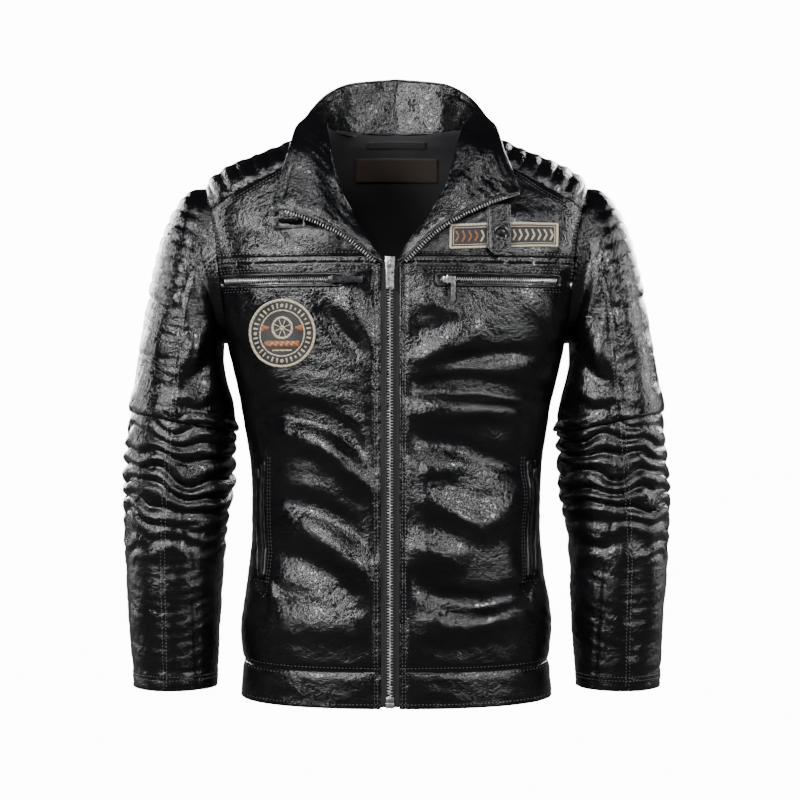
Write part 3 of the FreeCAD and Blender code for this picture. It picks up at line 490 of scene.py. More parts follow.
# How far the sleeve's leather stands off: ribs above, rolls at the elbow, smooth below.
def sleeveRelief(side, points, angle, station, upper):
    x, y, z = np.abs(points[:, 0]), points[:, 1], points[:, 2]
    flat = np.stack([x, z], axis=-1)
    shifted = points + [900 * (side > 0), 0, 0]
    relief = foldHeight(flat, sleeveFolds) * np.clip(-y / 20, 0, 1)
    relief = relief + noise(shifted, 46, 21) * 0.9 + noise(shifted * [1, 1, 1.7], 19, 22) * 0.35
    outerSide = np.clip((np.cos(angle) - 0.12) / 0.2, 0, 1)
    lines = (z - 0.42 * (x - 250) - 455) / 19.5
    ribs = np.abs(np.sin(np.pi * lines)) ** 0.4 * 4.0 - 1.6
    inRibs = np.clip((lines + 0.02) / 0.1, 0, 1) * np.clip((600 - z) / 8, 0, 1) * outerSide
    relief = relief * (1 - 0.7 * inRibs) + ribs * inRibs
    relief = relief + groove(lines * 19.5, 3.5, 1.4) * outerSide
    edge = np.abs(np.cos(angle) - 0.12) * 75
    relief = relief + groove(edge, 3.5, 1.0) * np.clip((z - 340) / 20, 0, 1) * (y < 0)
    for level in (423, 394):
        relief = relief + groove(z - 0.2 * (x - 250) - level, 3.0, 0.8) * outerSide
    # rolls at the elbow
    warp = noise(np.stack([np.cos(angle) * 60, np.sin(angle) * 60, z * 0.9 + side * 300], axis=-1), 62, 31)
    tilt = 7 * np.cos(angle) * side + 6 * np.sin(angle * 2 + 0.7 * side)
    wave = (z + tilt) / 19.5 + 0.4 * warp
    rolls = np.abs(np.cos(np.pi * wave)) ** 0.7
    fine = np.abs(np.cos(np.pi * (z / 8.3 + 0.8 * warp + 0.4 * np.sin(angle * 3)))) ** 0.7
    strength = np.exp(-((z - 262) / 62) ** 4) * (0.72 + 0.28 * noise(shifted, 55, 33))
    strength = strength * np.clip((348 - z) / 14, 0, 1)
    relief = relief + strength * (10.5 * (rolls - 0.62) + 1.2 * (fine - 0.6) * np.clip(warp + 0.4, 0, 1))
    fade = np.exp(-((z - 176) / 16) ** 2)
    relief = relief + fade * 1.4 * np.cos(z / 4.4 + warp * 3)
    seamX = smoothThrough([12, 163, 204, 340, 600], [233, 241, 252, 250, 250], z)
    seam = np.abs(x - seamX) + 40 * (y > 0)
    relief = relief + groove(seam, 3.0, 1.1) * (z < 345)
    relief = relief + groove(z - 31, 2.5, 0.6) * (z < 60)
    return relief


def makeSleeve(side, word):
    step = sleeve["step"]
    parts = {"upperSleeve": (sleeve["startStation"], sleeve["foldStation"], True),
             "foreSleeve": (sleeve["foldStation"] - 0.35, sleeve["endStation"], False)}
    for name, (first, last, upper) in parts.items():
        length = {True: 330, False: 345}[upper]
        rows, columns = int(length / step), int(400 / step)
        station = np.linspace(first, last, rows)[:, None] + np.zeros((1, columns))
        angle = np.zeros((rows, 1)) + np.linspace(0, 2 * np.pi, columns, endpoint=False)[None]
        base = sleevePoint(side, station, angle).reshape(-1, 3)
        angle, station = angle.ravel(), station.ravel()
        stand = sleeveRelief(side, base, angle, station, upper)
        if upper:
            lip = np.clip((station - last + 0.5) / 0.5, 0, 1)
            stand = stand + 4.0 * np.sin(np.pi * lip * 0.62) - 2.0 * lip ** 6
        else:
            tuck = np.clip((first + 0.5 - station) / 0.5, 0, 1)
            stand = stand * (1 - tuck) - 3.5 * tuck
        stand = stand * np.clip((station - 0.4) / 0.4, 0, 1)
        swollen = sleevePoint(side, station, angle, 1.0)
        normal = swollen - base
        points = base + normal / np.linalg.norm(normal, axis=1, keepdims=True) * stand[:, None]
        faces = gridFaces(rows, columns, closed=True)
        if side < 0:
            faces = [face[::-1] for face in faces]
        piece = meshFrom(name + word, points, [face[::-1] for face in faces])
        pieces[name + word] = piece
        thicken(piece, sleeve["wall"])
    print("sleeve", word)


collar = {
    "standoff": 13.0, "rollStandoff": 2.5, "bulge": 5.0, "wall": 1.5, "tipX": 140.0,
    "tipZ": {-1: 572.0, 1: 590.0}, "shares": [(0.05, 0.02), (0.36, 0.5), (0.75, 0.84), (1.0, 1.0)],
    "top": [(120, -94, 631), (112, -70, 658), (105, -36, 685), (98, 8, 704), (87, 42, 722),
            (58, 68, 741), (0, 82, 749)],
    "neckAngles": [0, 28, 56, 90], "rows": 44, "dense": 14,
}


def onSkin(x, z, lift):
    angle = frontAngle(np.float64(x), np.float64(z))
    return skinPoint(angle, np.float64(z)) + skinNormal(angle, np.float64(z)) * lift


def wingEdge(side):
    vee, middle = body["vee"], body["zipX"]
    points = []
    for across, up in collar["shares"]:
        x = middle + side * 9 + (side * collar["tipX"] - middle - side * 9) * across
        z = vee + 2 + (collar["tipZ"][side] - vee - 2) * up
        y = onSkin(x, z, 0)[1] - collar["standoff"] * min(1.0, 0.35 + across)
        points.append((x, y, z))
    return points


def collarLines(side):
    column = 0 if side < 0 else 1
    roll = [onSkin(rollLine[z][column], z, collar["rollStandoff"]) for z in list(rollLine)[:-1]]
    for degrees in collar["neckAngles"]:
        at = skinPoint(np.radians(float(degrees)), np.float64(body["neck"]))
        roll.append((side * at[0], at[1], body["neck"] + collar["rollStandoff"]))
    edge = wingEdge(side)
    for x, y, z in collar["top"]:
        edge.append(onSkin(side * x, z, collar["standoff"]) if z < body["neck"] - 15 else (side * x, y, z))
    return np.array(roll, float), np.array(edge, float)


def denser(points, parts):
    knots = np.arange(len(points))
    spots = np.linspace(0, len(points) - 1, (len(points) - 1) * parts + 1)
    return np.stack([smoothThrough(knots, points[:, axis], spots) for axis in range(3)], axis=-1)


# Grid of points from the roll line to the free edge, with its outward normals.
def collarSurface(side):
    roll, edge = [denser(line, collar["dense"]) for line in collarLines(side)]
    share = np.linspace(0, 1, collar["rows"])
    grid = roll[:, None] + (edge - roll)[:, None] * share[None, :, None]
    along = np.gradient(grid, axis=0)
    along[-1] = [-side, 0, 0]
    normal = np.cross(along, np.gradient(grid, axis=1)) * -side
    normal /= np.linalg.norm(normal, axis=-1, keepdims=True)
    turn = np.arange(len(grid)) / (len(grid) - 1)
    sense = 1 - 1.4 * np.maximum(0, turn - 0.5) / 0.5
    swell = collar["bulge"] * 4 * share * (1 - share)
    rise = np.minimum(1, np.arange(len(grid)) / collar["dense"] / 3)
    grid = grid + normal * (swell[None] * (sense * rise)[:, None])[..., None]
    return grid, normal, turn, share


def wholeCollar():
    right, left = collarSurface(-1), collarSurface(1)
    grid = np.concatenate([right[0], left[0][::-1][1:]])
    normal = np.concatenate([right[1], left[1][::-1][1:]])
    return grid, normal, right[2], right[3]


def makeCollar():
    grid, normal, _, share = wholeCollar()
    flat = grid.reshape(-1, 3)
    waves = noise(flat, 38, 41) * 1.1 + noise(flat, 15, 42) * 0.35
    edgeDistance = (1 - np.tile(share, len(grid))) * 60
    waves = waves + groove(edgeDistance - 9, 2.0, 0.5)
    faces = gridFaces(*grid.shape[:2])
    for name, near, flip in (("collarFacing", 0.5, False), ("collarUnder", -0.5, True)):
        points = flat + normal.reshape(-1, 3) * (near + waves)[:, None]
        piece = meshFrom(name, points, faces)
        pieces[name] = piece
        thicken(piece, collar["wall"], 1.0 if not flip else -1.0)
    print("collar")


# Round cord along a line.
def sweep(name, path, radius, sides=8, closed=False, flat=1.0):
    path = np.asarray(path, float)
    if closed:
        along = np.roll(path, -1, axis=0) - np.roll(path, 1, axis=0)
    else:
        along = np.gradient(path, axis=0)
    along /= np.linalg.norm(along, axis=1, keepdims=True)
    up = np.cross(along[0], [0.3, 0.9, 0.2])
    rings = []
    turns = np.linspace(0, 2 * np.pi, sides, endpoint=False)
    for spot, way in zip(path, along):
        up = up - way * (up @ way)
        up /= np.linalg.norm(up)
        over = np.cross(way, up)
        rings.append(spot + radius * (np.cos(turns)[:, None] * up * flat + np.sin(turns)[:, None] * over))
    count = len(path)
    faces = []
    for row in range(count if closed else count - 1):
        for side in range(sides):
            one, two = row * sides, (row + 1) % count * sides
            faces.append((one + side, one + (side + 1) % sides, two + (side + 1) % sides, two + side))
    if not closed:
        faces.append(tuple(range(sides))[::-1])
        faces.append(tuple(range((count - 1) * sides, count * sides)))
    piece = meshFrom(name, np.concatenate(rings), faces)
    outwardNormals(piece)
    pieces[name] = piece
    return piece


def outwardNormals(piece):
    work = bmesh.new()
    work.from_mesh(piece.data)
    bmesh.ops.recalc_face_normals(work, faces=list(work.faces))
    work.to_mesh(piece.data)
    work.free()


# Turned shape: profile of radius and height along the axis.
def lathe(name, middle, axis, profile, sides=36):
    axis = np.asarray(axis, float) / np.linalg.norm(axis)
    one = np.cross(axis, [0.13, 0.2, 0.97])
    one /= np.linalg.norm(one)
    other = np.cross(axis, one)
    turns = np.linspace(0, 2 * np.pi, sides, endpoint=False)
    points = [np.asarray(middle, float) + axis * profile[0][1]]
    for radius, height in profile[1:-1]:
        circle = np.cos(turns)[:, None] * one + np.sin(turns)[:, None] * other
        points.extend(np.asarray(middle, float) + axis * height + circle * radius)
    points.append(np.asarray(middle, float) + axis * profile[-1][1])
    rows, last = len(profile) - 2, len(points) - 1
    faces = []
    for k in range(sides):
        n = (k + 1) % sides
        faces.append((0, 1 + k, 1 + n))
        for row in range(rows - 1):
            a, b = 1 + row * sides, 1 + (row + 1) * sides
            faces.append((a + k, b + k, b + n, a + n))
        end = 1 + (rows - 1) * sides
        faces.append((end + k, last, end + n))
    piece = meshFrom(name, np.array(points), faces)
    outwardNormals(piece)
    pieces[name] = piece
    return piece


def surfaceTree(*names):
    vertices, faces = [], []
    for name in names:
        mesh = pieces[name].data
        base = len(vertices)
        vertices.extend(Vector(v.co) / mm for v in mesh.vertices)
        faces.extend([base + i for i in face.vertices] for face in mesh.polygons)
    return BVHTree.FromPolygons(vertices, faces)


# Where rays meet the finished surface, and its normals.
def landOn(tree, starts, ways, lift=0.0, reach=70.0):
    spots, normals = [], []
    for start, way in zip(starts, ways):
        hit, normal, _, _ = tree.ray_cast(Vector(start), Vector(way), reach)
        if hit is None:
            continue
        if normal.dot(Vector(way)) > 0:
            normal = -normal
        spots.append(np.array(hit) + np.array(normal) * lift)
        normals.append(np.array(normal))
    return np.array(spots), np.array(normals)


def bodyRays(x, z, back=False):
    x, z = np.broadcast_arrays(np.asarray(x, float), np.asarray(z, float))
    angle = frontAngle(x, z)
    if back:
        angle = -angle
    normal = skinNormal(angle, z)
    return skinPoint(angle, z) + normal * 28, -normal


# Even steps along a bent line.
def spread(path, pitch):
    path = np.asarray(path, float)
    lengths = np.concatenate([[0], np.cumsum(np.linalg.norm(np.diff(path, axis=0), axis=1))])
    spots = np.arange(0, lengths[-1], pitch)
    return np.stack([np.interp(spots, lengths, path[:, k]) for k in range(path.shape[1])], axis=-1)


stitch = {"pitch": 4.2, "half": 1.45, "wide": 0.45, "high": 0.5}
threads = {"torso": [], "armRight": [], "armLeft": [], "foreRight": [], "foreLeft": [], "strap": []}


def addStitches(bucket, spots, normals):
    if len(spots) > 3:
        ways = np.gradient(spots, axis=0)
        threads[bucket].append((spots, normals, ways))


def bodyStitches(tree, path, back=False, bucket="torso"):
    path = spread(path, stitch["pitch"])
    starts, ways = bodyRays(path[:, 0], path[:, 1], back)
    addStitches(bucket, *landOn(tree, starts, ways))


def sleeveStitches(side, word, upper, station, angle):
    name = ("upperSleeve" if upper else "foreSleeve") + word
    tree = surfaceTree(name) if name not in trees else trees[name]
    trees[name] = tree
    base = sleevePoint(side, station, angle)
    lengths = np.concatenate([[0], np.cumsum(np.linalg.norm(np.diff(base, axis=0), axis=1))])
    even = np.arange(0, lengths[-1], stitch["pitch"])
    station, angle = np.interp(even, lengths, station), np.interp(even, lengths, angle)
    base, out = sleevePoint(side, station, angle), sleevePoint(side, station, angle, 1.0)
    way = base - out
    way /= np.linalg.norm(way, axis=1, keepdims=True)
    addStitches(("arm" if upper else "fore") + word, *landOn(tree, base - way * 20, way))


trees = {}


# Short rounded threads that dive into the leather at both ends.
def makeStitches():
    for bucket, rows in threads.items():
        points, faces = [], []
        for spots, normals, ways in rows:
            ways = ways / np.maximum(np.linalg.norm(ways, axis=1, keepdims=True), 1e-9)
            over = np.cross(ways, normals)
            for spot, normal, way, side in zip(spots, normals, ways, over):
                base = len(points)
                points.append(spot - way * stitch["half"] - normal * 0.25)
                for place in (-0.5, 0.5):
                    middle = spot + way * stitch["half"] * place
                    points.append(middle + side * stitch["wide"])
                    points.append(middle + normal * stitch["high"])
                    points.append(middle - side * stitch["wide"])
                    points.append(middle - normal * 0.3)
                points.append(spot + way * stitch["half"] - normal * 0.25)
                for k in range(4):
                    n = (k + 1) % 4
                    faces.append((base, base + 1 + n, base + 1 + k))
                    faces.append((base + 1 + k, base + 1 + n, base + 5 + n, base + 5 + k))
                    faces.append((base + 5 + k, base + 5 + n, base + 9))
        if points:
            piece = meshFrom(bucket + "Stitches", np.array(points), faces)
            outwardNormals(piece)
            pieces[bucket + "Stitches"] = piece
    print("stitches", sum(len(r[0]) for rows in threads.values() for r in rows))


toothShape = [(-0.9, 0.4), (-0.2, 0.78), (0.7, 0.5), (3.5, 0.62), (3.5, -0.62), (0.7, -0.5), (-0.2, -0.78),
              (-0.9, -0.4)]


# One row of zip teeth, all the same, each turned to its place.
def toothRow(name, spots, inward, along, normals, depth, scale=1.0):
    points, faces = [], []
    count = len(toothShape)
    for spot, way, line, normal in zip(spots, inward, along, normals):
        base = len(points)
        for level in (-0.5, 0.5):
            for across, up in toothShape:
                points.append(spot - way * across * scale + line * up * scale + normal * depth * level)
        faces.append(tuple(base + k for k in range(count))[::-1])
        faces.append(tuple(base + count + k for k in range(count)))
        for k in range(count):
            n = (k + 1) % count
            faces.append((base + k, base + n, base + count + n, base + count + k))
    piece = meshFrom(name, np.array(points), faces)
    outwardNormals(piece)
    pieces[name] = piece
    return piece


zipLine = {"low": 14.5, "high": 503.0, "pitch": 3.3, "depth": 3.4, "y": -126.0}


def lapelEdge(side):
    return denser(np.array(wingEdge(side)), 24)


def makeZip():
    middle = body["zipX"]
    for side, word in ((-1, "Right"), (1, "Left")):
        shift = 0.0 if side < 0 else zipLine["pitch"] / 2
        z = np.arange(zipLine["low"] + shift, zipLine["high"], zipLine["pitch"])
        spots = np.stack([0 * z + middle, 0 * z + zipLine["y"], z], axis=-1)
        inward = np.zeros((len(z), 3)) + [-side, 0, 0]
        along = np.zeros((len(z), 3)) + [0, 0, 1]
        normals = np.zeros((len(z), 3)) + [0, -1, 0]
        edge = spread(lapelEdge(side), zipLine["pitch"])
        ways = np.gradient(edge, axis=0)
        ways /= np.linalg.norm(ways, axis=1, keepdims=True)
        outward = np.stack([side * ways[:, 2], 0 * ways[:, 0], -np.abs(ways[:, 0])], axis=-1)
        outward /= np.linalg.norm(outward, axis=1, keepdims=True)
        face = np.cross(ways, outward)
        face *= -np.sign(face[:, 1:2])
        spots = np.concatenate([spots, edge + outward * 4.6])
        toothRow("zipTeeth" + word, spots, np.concatenate([inward, outward]),
                 np.concatenate([along, ways]), np.concatenate([normals, face]), zipLine["depth"])
        start = lambda z, s=side: frontAngle(middle + s * 0.15 + 0 * z, z)
        end = lambda z, s=side: frontAngle(middle + s * 25.0 + 0 * z, z)
        skinPatch("zipTape" + word, start, end, 2, 506, -2.5, 0.6, 120, 8)
        path = np.stack([0 * z + middle + side * 4.2, 0 * z + zipLine["y"] - 0.3, z], axis=-1)
        ribbon = np.concatenate([path, edge + outward * 1.0])
        sweep("zipCord" + word, ribbon[::2], 0.9, 6)
    print("main zip")


# Sheet on the body's surface between two lines of angle.
def skinPatch(name, start, end, low, high, offset, wall, rows, columns, relief=None):
    z = np.linspace(low, high, rows)
    first, last = start(z), end(z)
    share = np.linspace(0, 1, columns)
    angle = first[:, None] + (last - first)[:, None] * share
    height = z[:, None] + 0 * angle
    base, normal = skinPoint(angle, height), skinNormal(angle, height)
    lift = offset + (relief(base, share[None] + 0 * angle, (height - low) / (high - low)) if relief else 0.0)
    lift = lift + 0 * angle
    piece = meshFrom(name, (base + normal * lift[..., None]).reshape(-1, 3), gridFaces(*angle.shape))
    thicken(piece, wall)
    outwardNormals(piece)
    pieces[name] = piece
    return piece


# Two facing rows of teeth along one line on the leather.
def pocketChain(tree, name, x, z, lift, depth, scale, upward):
    spots, normals = landOn(tree, *bodyRays(x, z), lift=lift)
    ways = np.gradient(spots, axis=0)
    ways /= np.linalg.norm(ways, axis=1, keepdims=True)
    across = np.cross(normals, ways)
    if upward:
        across *= np.sign(across[:, 2:3])
    shift = ways * pocket["pitch"] / 2
    toothRow(name, np.concatenate([spots, spots + shift]), np.concatenate([across, -across]),
             np.concatenate([ways, ways]), np.concatenate([normals, normals]), depth, scale)


def makePockets(tree):
    for side, word in ((-1, "Right"), (1, "Left")):
        start, end = pocket["chest"][side]
        level, half = pocket["chestZ"], pocket["chestHalf"]
        x = np.arange(start, end, side * pocket["pitch"])
        pocketChain(tree, "chestTeeth" + word, x, level + 0 * x, 1.5, 2.0, 0.78, True)
        ring = []
        for turn in np.linspace(0, 2 * np.pi, 120, endpoint=False):
            cx, cz = math.cos(turn), math.sin(turn)
            power = 0.16
            reach = (abs(end - start) / 2 + 5)
            ring.append(((start + end) / 2 + math.copysign(abs(cx) ** power, cx) * reach,
                         level + math.copysign(abs(cz) ** power, cz) * (half + 2.6)))
        ring = spread(ring + ring[:1], 2.5)
        line, _ = landOn(tree, *bodyRays(ring[:, 0], ring[:, 1]), lift=0.5)
        sweep("chestWelt" + word, line, 1.9, 8, closed=True)
        for wide, tall in ((9.0, 6.5), (12.0, 9.5)):
            a, b = start - side * wide, end + side * (wide - 2)
            for height in (level + half + tall, level - half - tall + 1.5):
                bodyStitches(tree, [(a, height), (b, height)])
        bodyStitches(tree, [(start - side * 9, level - 8), (start - side * 9, level + 10)])
        x = side * pocket["handX"]
        z = np.arange(pocket["handLow"], pocket["handHigh"], pocket["pitch"])
        pocketChain(tree, "handTeeth" + word, x + 0 * z, z, 0.6, 1.6, 0.7, False)
        outline = [(x - 5, pocket["handLow"] - 3), (x - 5, pocket["handHigh"] + 3),
                   (x + 5, pocket["handHigh"] + 3), (x + 5, pocket["handLow"] - 3)]
        ring = spread(outline + outline[:1], 2.5)
        line, _ = landOn(tree, *bodyRays(ring[:, 0], ring[:, 1]), lift=0.4)
        sweep("handWelt" + word, line, 1.5, 8, closed=True)
        for wide in (9, 12):
            bodyStitches(tree, [(x - side * wide, pocket["handLow"] - 8),
                                (x - side * wide, pocket["handHigh"] + 8)])
        tip = (x - side * 2, pocket["handLow"] - 26)
        corner = (x - side * 12, pocket["handLow"] - 8)
        bodyStitches(tree, [corner, tip, (x + side * 10, pocket["handLow"] - 8), corner])
        bag = lambda p, u, v: -0.6 * np.sin(np.pi * u) * np.sin(np.pi * v)
        low = lambda z, a=start + side * -4: frontAngle(a + 0 * z, z)
        high = lambda z, a=end + side * 4: frontAngle(a + 0 * z, z)
        skinPatch("chestBag" + word, low, high, 380, 500, -7.0, 0.6, 40, 40, bag)
        low = lambda z, a=side * 100: frontAngle(a + 0 * z, z)
        high = lambda z, a=side * 164: frontAngle(a + 0 * z, z)
        skinPatch("handBag" + word, low, high, 128, 290, -7.0, 0.6, 50, 24, bag)
    print("pockets")


def onFront(tree, x, z, lift):
    spots, normals = landOn(tree, *bodyRays(x, z), lift=0.0)
    return spots + normals * np.asarray(lift)[:, None]


# Embroidered field on a grid of x, height and lift over the leather.
def inlay(tree, name, x, z, lift, wall=0.9):
    shape = x.shape
    points = onFront(tree, x.ravel(), z.ravel(), (lift + 0 * x).ravel())
    closed = np.allclose(x[:, 0], x[:, -1]) and np.allclose(z[:, 0], z[:, -1]) and shape[1] > 12
    if closed:
        points = points.reshape(shape + (3,))[:, :-1].reshape(-1, 3)
        faces = gridFaces(shape[0], shape[1] - 1, closed=True)
    else:
        faces = gridFaces(*shape)
    piece = meshFrom(name, points, faces)
    work = bmesh.new()
    work.from_mesh(piece.data)
    bmesh.ops.remove_doubles(work, verts=list(work.verts), dist=1e-6)
    bmesh.ops.recalc_face_normals(work, faces=list(work.faces))
    facing = sum((face.normal.y * face.calc_area() for face in work.faces), 0.0)
    if facing > 0:
        bmesh.ops.reverse_faces(work, faces=list(work.faces))
    work.to_mesh(piece.data)
    work.free()
    thicken(piece, wall)
    outwardNormals(piece)
    pieces[name] = piece
    return piece


badge = {"x": -130.0, "z": 426.0, "radius": 39.0}
plate = {"x": 123.0, "z": 537.0, "width": 125.0, "height": 28.0, "tilt": 2.0}


def ringField(tree, name, inner, outer, lift, round=0.0, rows=8, middle=None):
    turn = np.linspace(0, 2 * np.pi, 121)
    cx, cz = middle or (badge["x"], badge["z"])
    radius = np.linspace(max(inner, 0.4), outer, rows)[:, None]
    share = np.linspace(0, 1, rows)[:, None]
    swell = lift + round * np.sqrt(np.clip(1 - (2 * share - 1) ** 2, 0, 1)) + 0 * turn[None]
    return inlay(tree, name, cx + radius * np.cos(turn), cz + radius * np.sin(turn), swell)


def barField(tree, name, ends, half, lift, round=0.4, taper=1.0):
    (x0, z0), (x1, z1) = ends
    length = math.hypot(x1 - x0, z1 - z0)
    way, over = np.array([x1 - x0, z1 - z0]) / length, np.array([z0 - z1, x1 - x0]) / length
    along = np.linspace(0, length, max(4, int(length / 1.5)))[None]
    across = np.linspace(-1, 1, 5)[:, None]
    wide = half * (1 + (taper - 1) * along / length)
    x = x0 + way[0] * along + over[0] * across * wide
    z = z0 + way[1] * along + over[1] * across * wide
    return inlay(tree, name, x, z, lift + round * np.sqrt(1 - across ** 2) + 0 * along)


def makeBadges(tree):
    cx, cz, radius = badge["x"], badge["z"], badge["radius"]
    ringField(tree, "badgeField", 0.0, radius - 1.2, 0.55, rows=24)
    ringField(tree, "badgeBorder", radius - 3.0, radius, 0.5, 1.1)
    ringField(tree, "badgeInnerRing", 25.2, 26.8, 0.75, 0.4, 5)
    for k in range(36):
        turn = 2 * math.pi * k / 36
        if k % 9 == 0:
            continue
        inner, outer = (28.6, 34.0) if k % 3 else (30.0, 32.6)
        ends = [(cx + r * math.cos(turn), cz + r * math.sin(turn)) for r in (inner, outer)]
        barField(tree, "badgeTick%d" % k, ends, 0.95, 0.75, 0.35)
    for k in range(4):
        turn = math.pi / 2 * k
        ringField(tree, "badgeDot%d" % k, 0.0, 2.0, 0.75, 0.4, 4,
                  (cx + 31.3 * math.cos(turn), cz + 31.3 * math.sin(turn)))
    ringField(tree, "badgeWheel", 10.4, 13.0, 0.75, 0.5, 5, (cx, cz + 6))
    ringField(tree, "badgeHub", 0.0, 3.0, 0.8, 0.5, 4, (cx, cz + 6))
    for k in range(8):
        turn = math.pi * (k + 0.5) / 4
        ends = [(cx + r * math.cos(turn), cz + 6 + r * math.sin(turn)) for r in (3.4, 10.0)]
        barField(tree, "badgeSpoke%d" % k, ends, 0.55, 0.75, 0.3)
    barField(tree, "badgeBand", [(cx - 20, cz - 12), (cx + 20, cz - 12)], 3.4, 0.75, 0.5)
    for k in range(5):
        at = cx - 12 + 6 * k
        barField(tree, "badgeMark%d" % k, [(at - 1.4, cz - 14), (at + 1.4, cz - 10)], 0.6, 1.2, 0.3)
    for side in (-1, 1):
        ends = [(cx + side * 24.5, cz + 6), (cx + side * 15.5, cz + 6)]
        barField(tree, "badgeWing%d" % side, ends, 4.4, 0.75, 0.5, 0.25)
    barField(tree, "badgeFoot", [(cx - 11, cz - 19.5), (cx + 11, cz - 19.5)], 0.8, 0.75, 0.4)
    tilt = math.radians(plate["tilt"])

    def place(u, v):
        return (plate["x"] + u * math.cos(tilt) - v * math.sin(tilt) * -1,
                plate["z"] - u * math.sin(tilt) * -1 + v * math.cos(tilt))

    half, tall = plate["width"] / 2, plate["height"] / 2
    u, v = np.meshgrid(np.linspace(-half, half, 70), np.linspace(-tall, tall, 20))
    x, z = place(u, v)
    inlay(tree, "plateField", x, z, 0.55 + 0 * x)
    for inset, wide, name in ((1.3, 1.3, "plateBorder"), (4.4, 0.5, "plateLine")):
        a, b = half - inset, tall - inset
        edges = (((-a, b), (a, b)), ((-a, -b), (a, -b)), ((-a, -b), (-a, b)), ((a, -b), (a, b)))
        for k, ends in enumerate(edges):
            barField(tree, name + str(k), [place(*ends[0]), place(*ends[1])], wide, 0.8, 0.6)
    for k in range(16):
        u = -54 + 7.2 * k
        name = "plateRust%d" % k if k < 4 else "plateMark%d" % k
        for part, (v0, v1) in enumerate(((-6.2, 0), (6.2, 0))):
            barField(tree, name + "_%d" % part, [place(u - 1.5, v0), place(u + 1.8, v1)], 1.05, 0.8, 0.4)
    print("badges")


strap = {"x": 116.0, "top": 573.0, "tip": 513.0, "half": 14.0, "thick": 2.6, "clear": 3.4,
         "snapX": 119.0, "snapZ": 539.3, "snapRadius": 9.0}


def strapBack(z):
    x = strap["x"] - strap["half"]
    yTop = onSkin(x, strap["top"], 0)[1] - strap["clear"]
    yTip = onSkin(x, strap["tip"], 0)[1] - strap["clear"]
    return yTop + (yTip - yTop) * (strap["top"] - z) / (strap["top"] - strap["tip"])


def makeStrapAndRing():
    rows, columns = 60, 28
    z = np.linspace(strap["tip"], strap["top"], rows)
    shoulder = strap["half"] * 0.7
    wide = np.clip(4 + 10 * (z - strap["tip"]) / shoulder, 4, strap["half"])
    across = np.linspace(-1, 1, columns)
    x = strap["x"] + wide[:, None] * across[None]
    height = z[:, None] + 0 * x
    rim = np.minimum((1 - np.abs(across))[None] * wide[:, None], height - strap["tip"])
    puff = 0.9 * np.clip(rim / 2.5, 0, 1) ** 0.5 - 0.5 * np.exp(-((rim - 3.4) / 0.9) ** 2)
    y = strapBack(height) - strap["thick"] + 0.9 - puff
    points = np.stack([x, y, height], axis=-1).reshape(-1, 3)
    piece = meshFrom("strapLeather", points, gridFaces(rows, columns))
    thicken(piece, strap["thick"] - 0.9, -1.0)
    outwardNormals(piece)
    pieces["strapLeather"] = piece
    tree = surfaceTree("strapLeather")
    inset = 3.4
    outline = [(-strap["half"] + inset, 572), (-strap["half"] + inset, 524), (-4, 517), (4, 517),
               (strap["half"] - inset, 524), (strap["half"] - inset, 572)]
    line = spread([(strap["x"] + a, b) for a, b in outline], 3.0)
    starts = np.stack([line[:, 0], -160 + 0 * line[:, 0], line[:, 1]], axis=-1)
    spots, normals = landOn(tree, starts, np.zeros_like(starts) + [0, 1, 0])
    addStitches("strap", spots, normals)
    lean = (strapBack(strap["tip"]) - strapBack(strap["top"])) / (strap["top"] - strap["tip"])
    cap = [(0, 2.0), (3.6, 2.0), (4.4, 1.5), (5.4, 1.4), (6.0, 2.2), (7.2, 2.9), (8.4, 2.4), (9.0, 1.2),
           (9.0, 0.1),
           (0, 0.1)]
    lathe("strapSnap", (strap["snapX"], strapBack(strap["snapZ"]) - strap["thick"], strap["snapZ"]),
          (0, -1, -lean * -1), cap)
    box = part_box("collar_ring")
    low, high = np.array(box[0]) / mm, np.array(box[1]) / mm
    middle, radius, corner = (low + high) / 2, 1.55, 3.4
    halfX, halfZ = (high[0] - low[0]) / 2 - radius, (high[2] - low[2]) / 2 - radius
    path = []
    for cx, cz, first in ((1, 1, 0), (-1, 1, 90), (-1, -1, 180), (1, -1, 270)):
        for step in range(7):
            turn = math.radians(first + 15 * step)
            path.append((middle[0] + cx * (halfX - corner) + corner * math.cos(turn), middle[1],
                         middle[2] + cz * (halfZ - corner) + corner * math.sin(turn)))
    sweep("collarRing", spread(path + path[:1], 1.2), radius, 12, closed=True)
    front, top = middle[1], high[2]
    bend = [(front + 2.0, top + 15), (front - 1.0, top + 9), (front - 2.9, top + 3), (front - 3.1, top - 2),
            (front - 2.4, top - 4.6), (front, top - 5.6), (front + 2.2, top - 4.6), (front + 2.5, top - 1),
            (front + 2.6, top + 8), (front + 2.8, top + 15)]
    knots = np.arange(len(bend))
    fine = np.linspace(0, len(bend) - 1, 50)
    bendY = smoothThrough(knots, [b[0] for b in bend], fine)
    bendZ = smoothThrough(knots, [b[1] for b in bend], fine)
    across = np.linspace(-11, 11, 16)
    grid = np.zeros((50, 16, 3))
    grid[..., 0] = middle[0] + across[None]
    grid[..., 1] = bendY[:, None]
    grid[..., 2] = bendZ[:, None]
    piece = meshFrom("ringKeeper", grid.reshape(-1, 3), gridFaces(50, 16))
    thicken(piece, 0.9)
    outwardNormals(piece)
    pieces["ringKeeper"] = piece
    print("strap and ring")


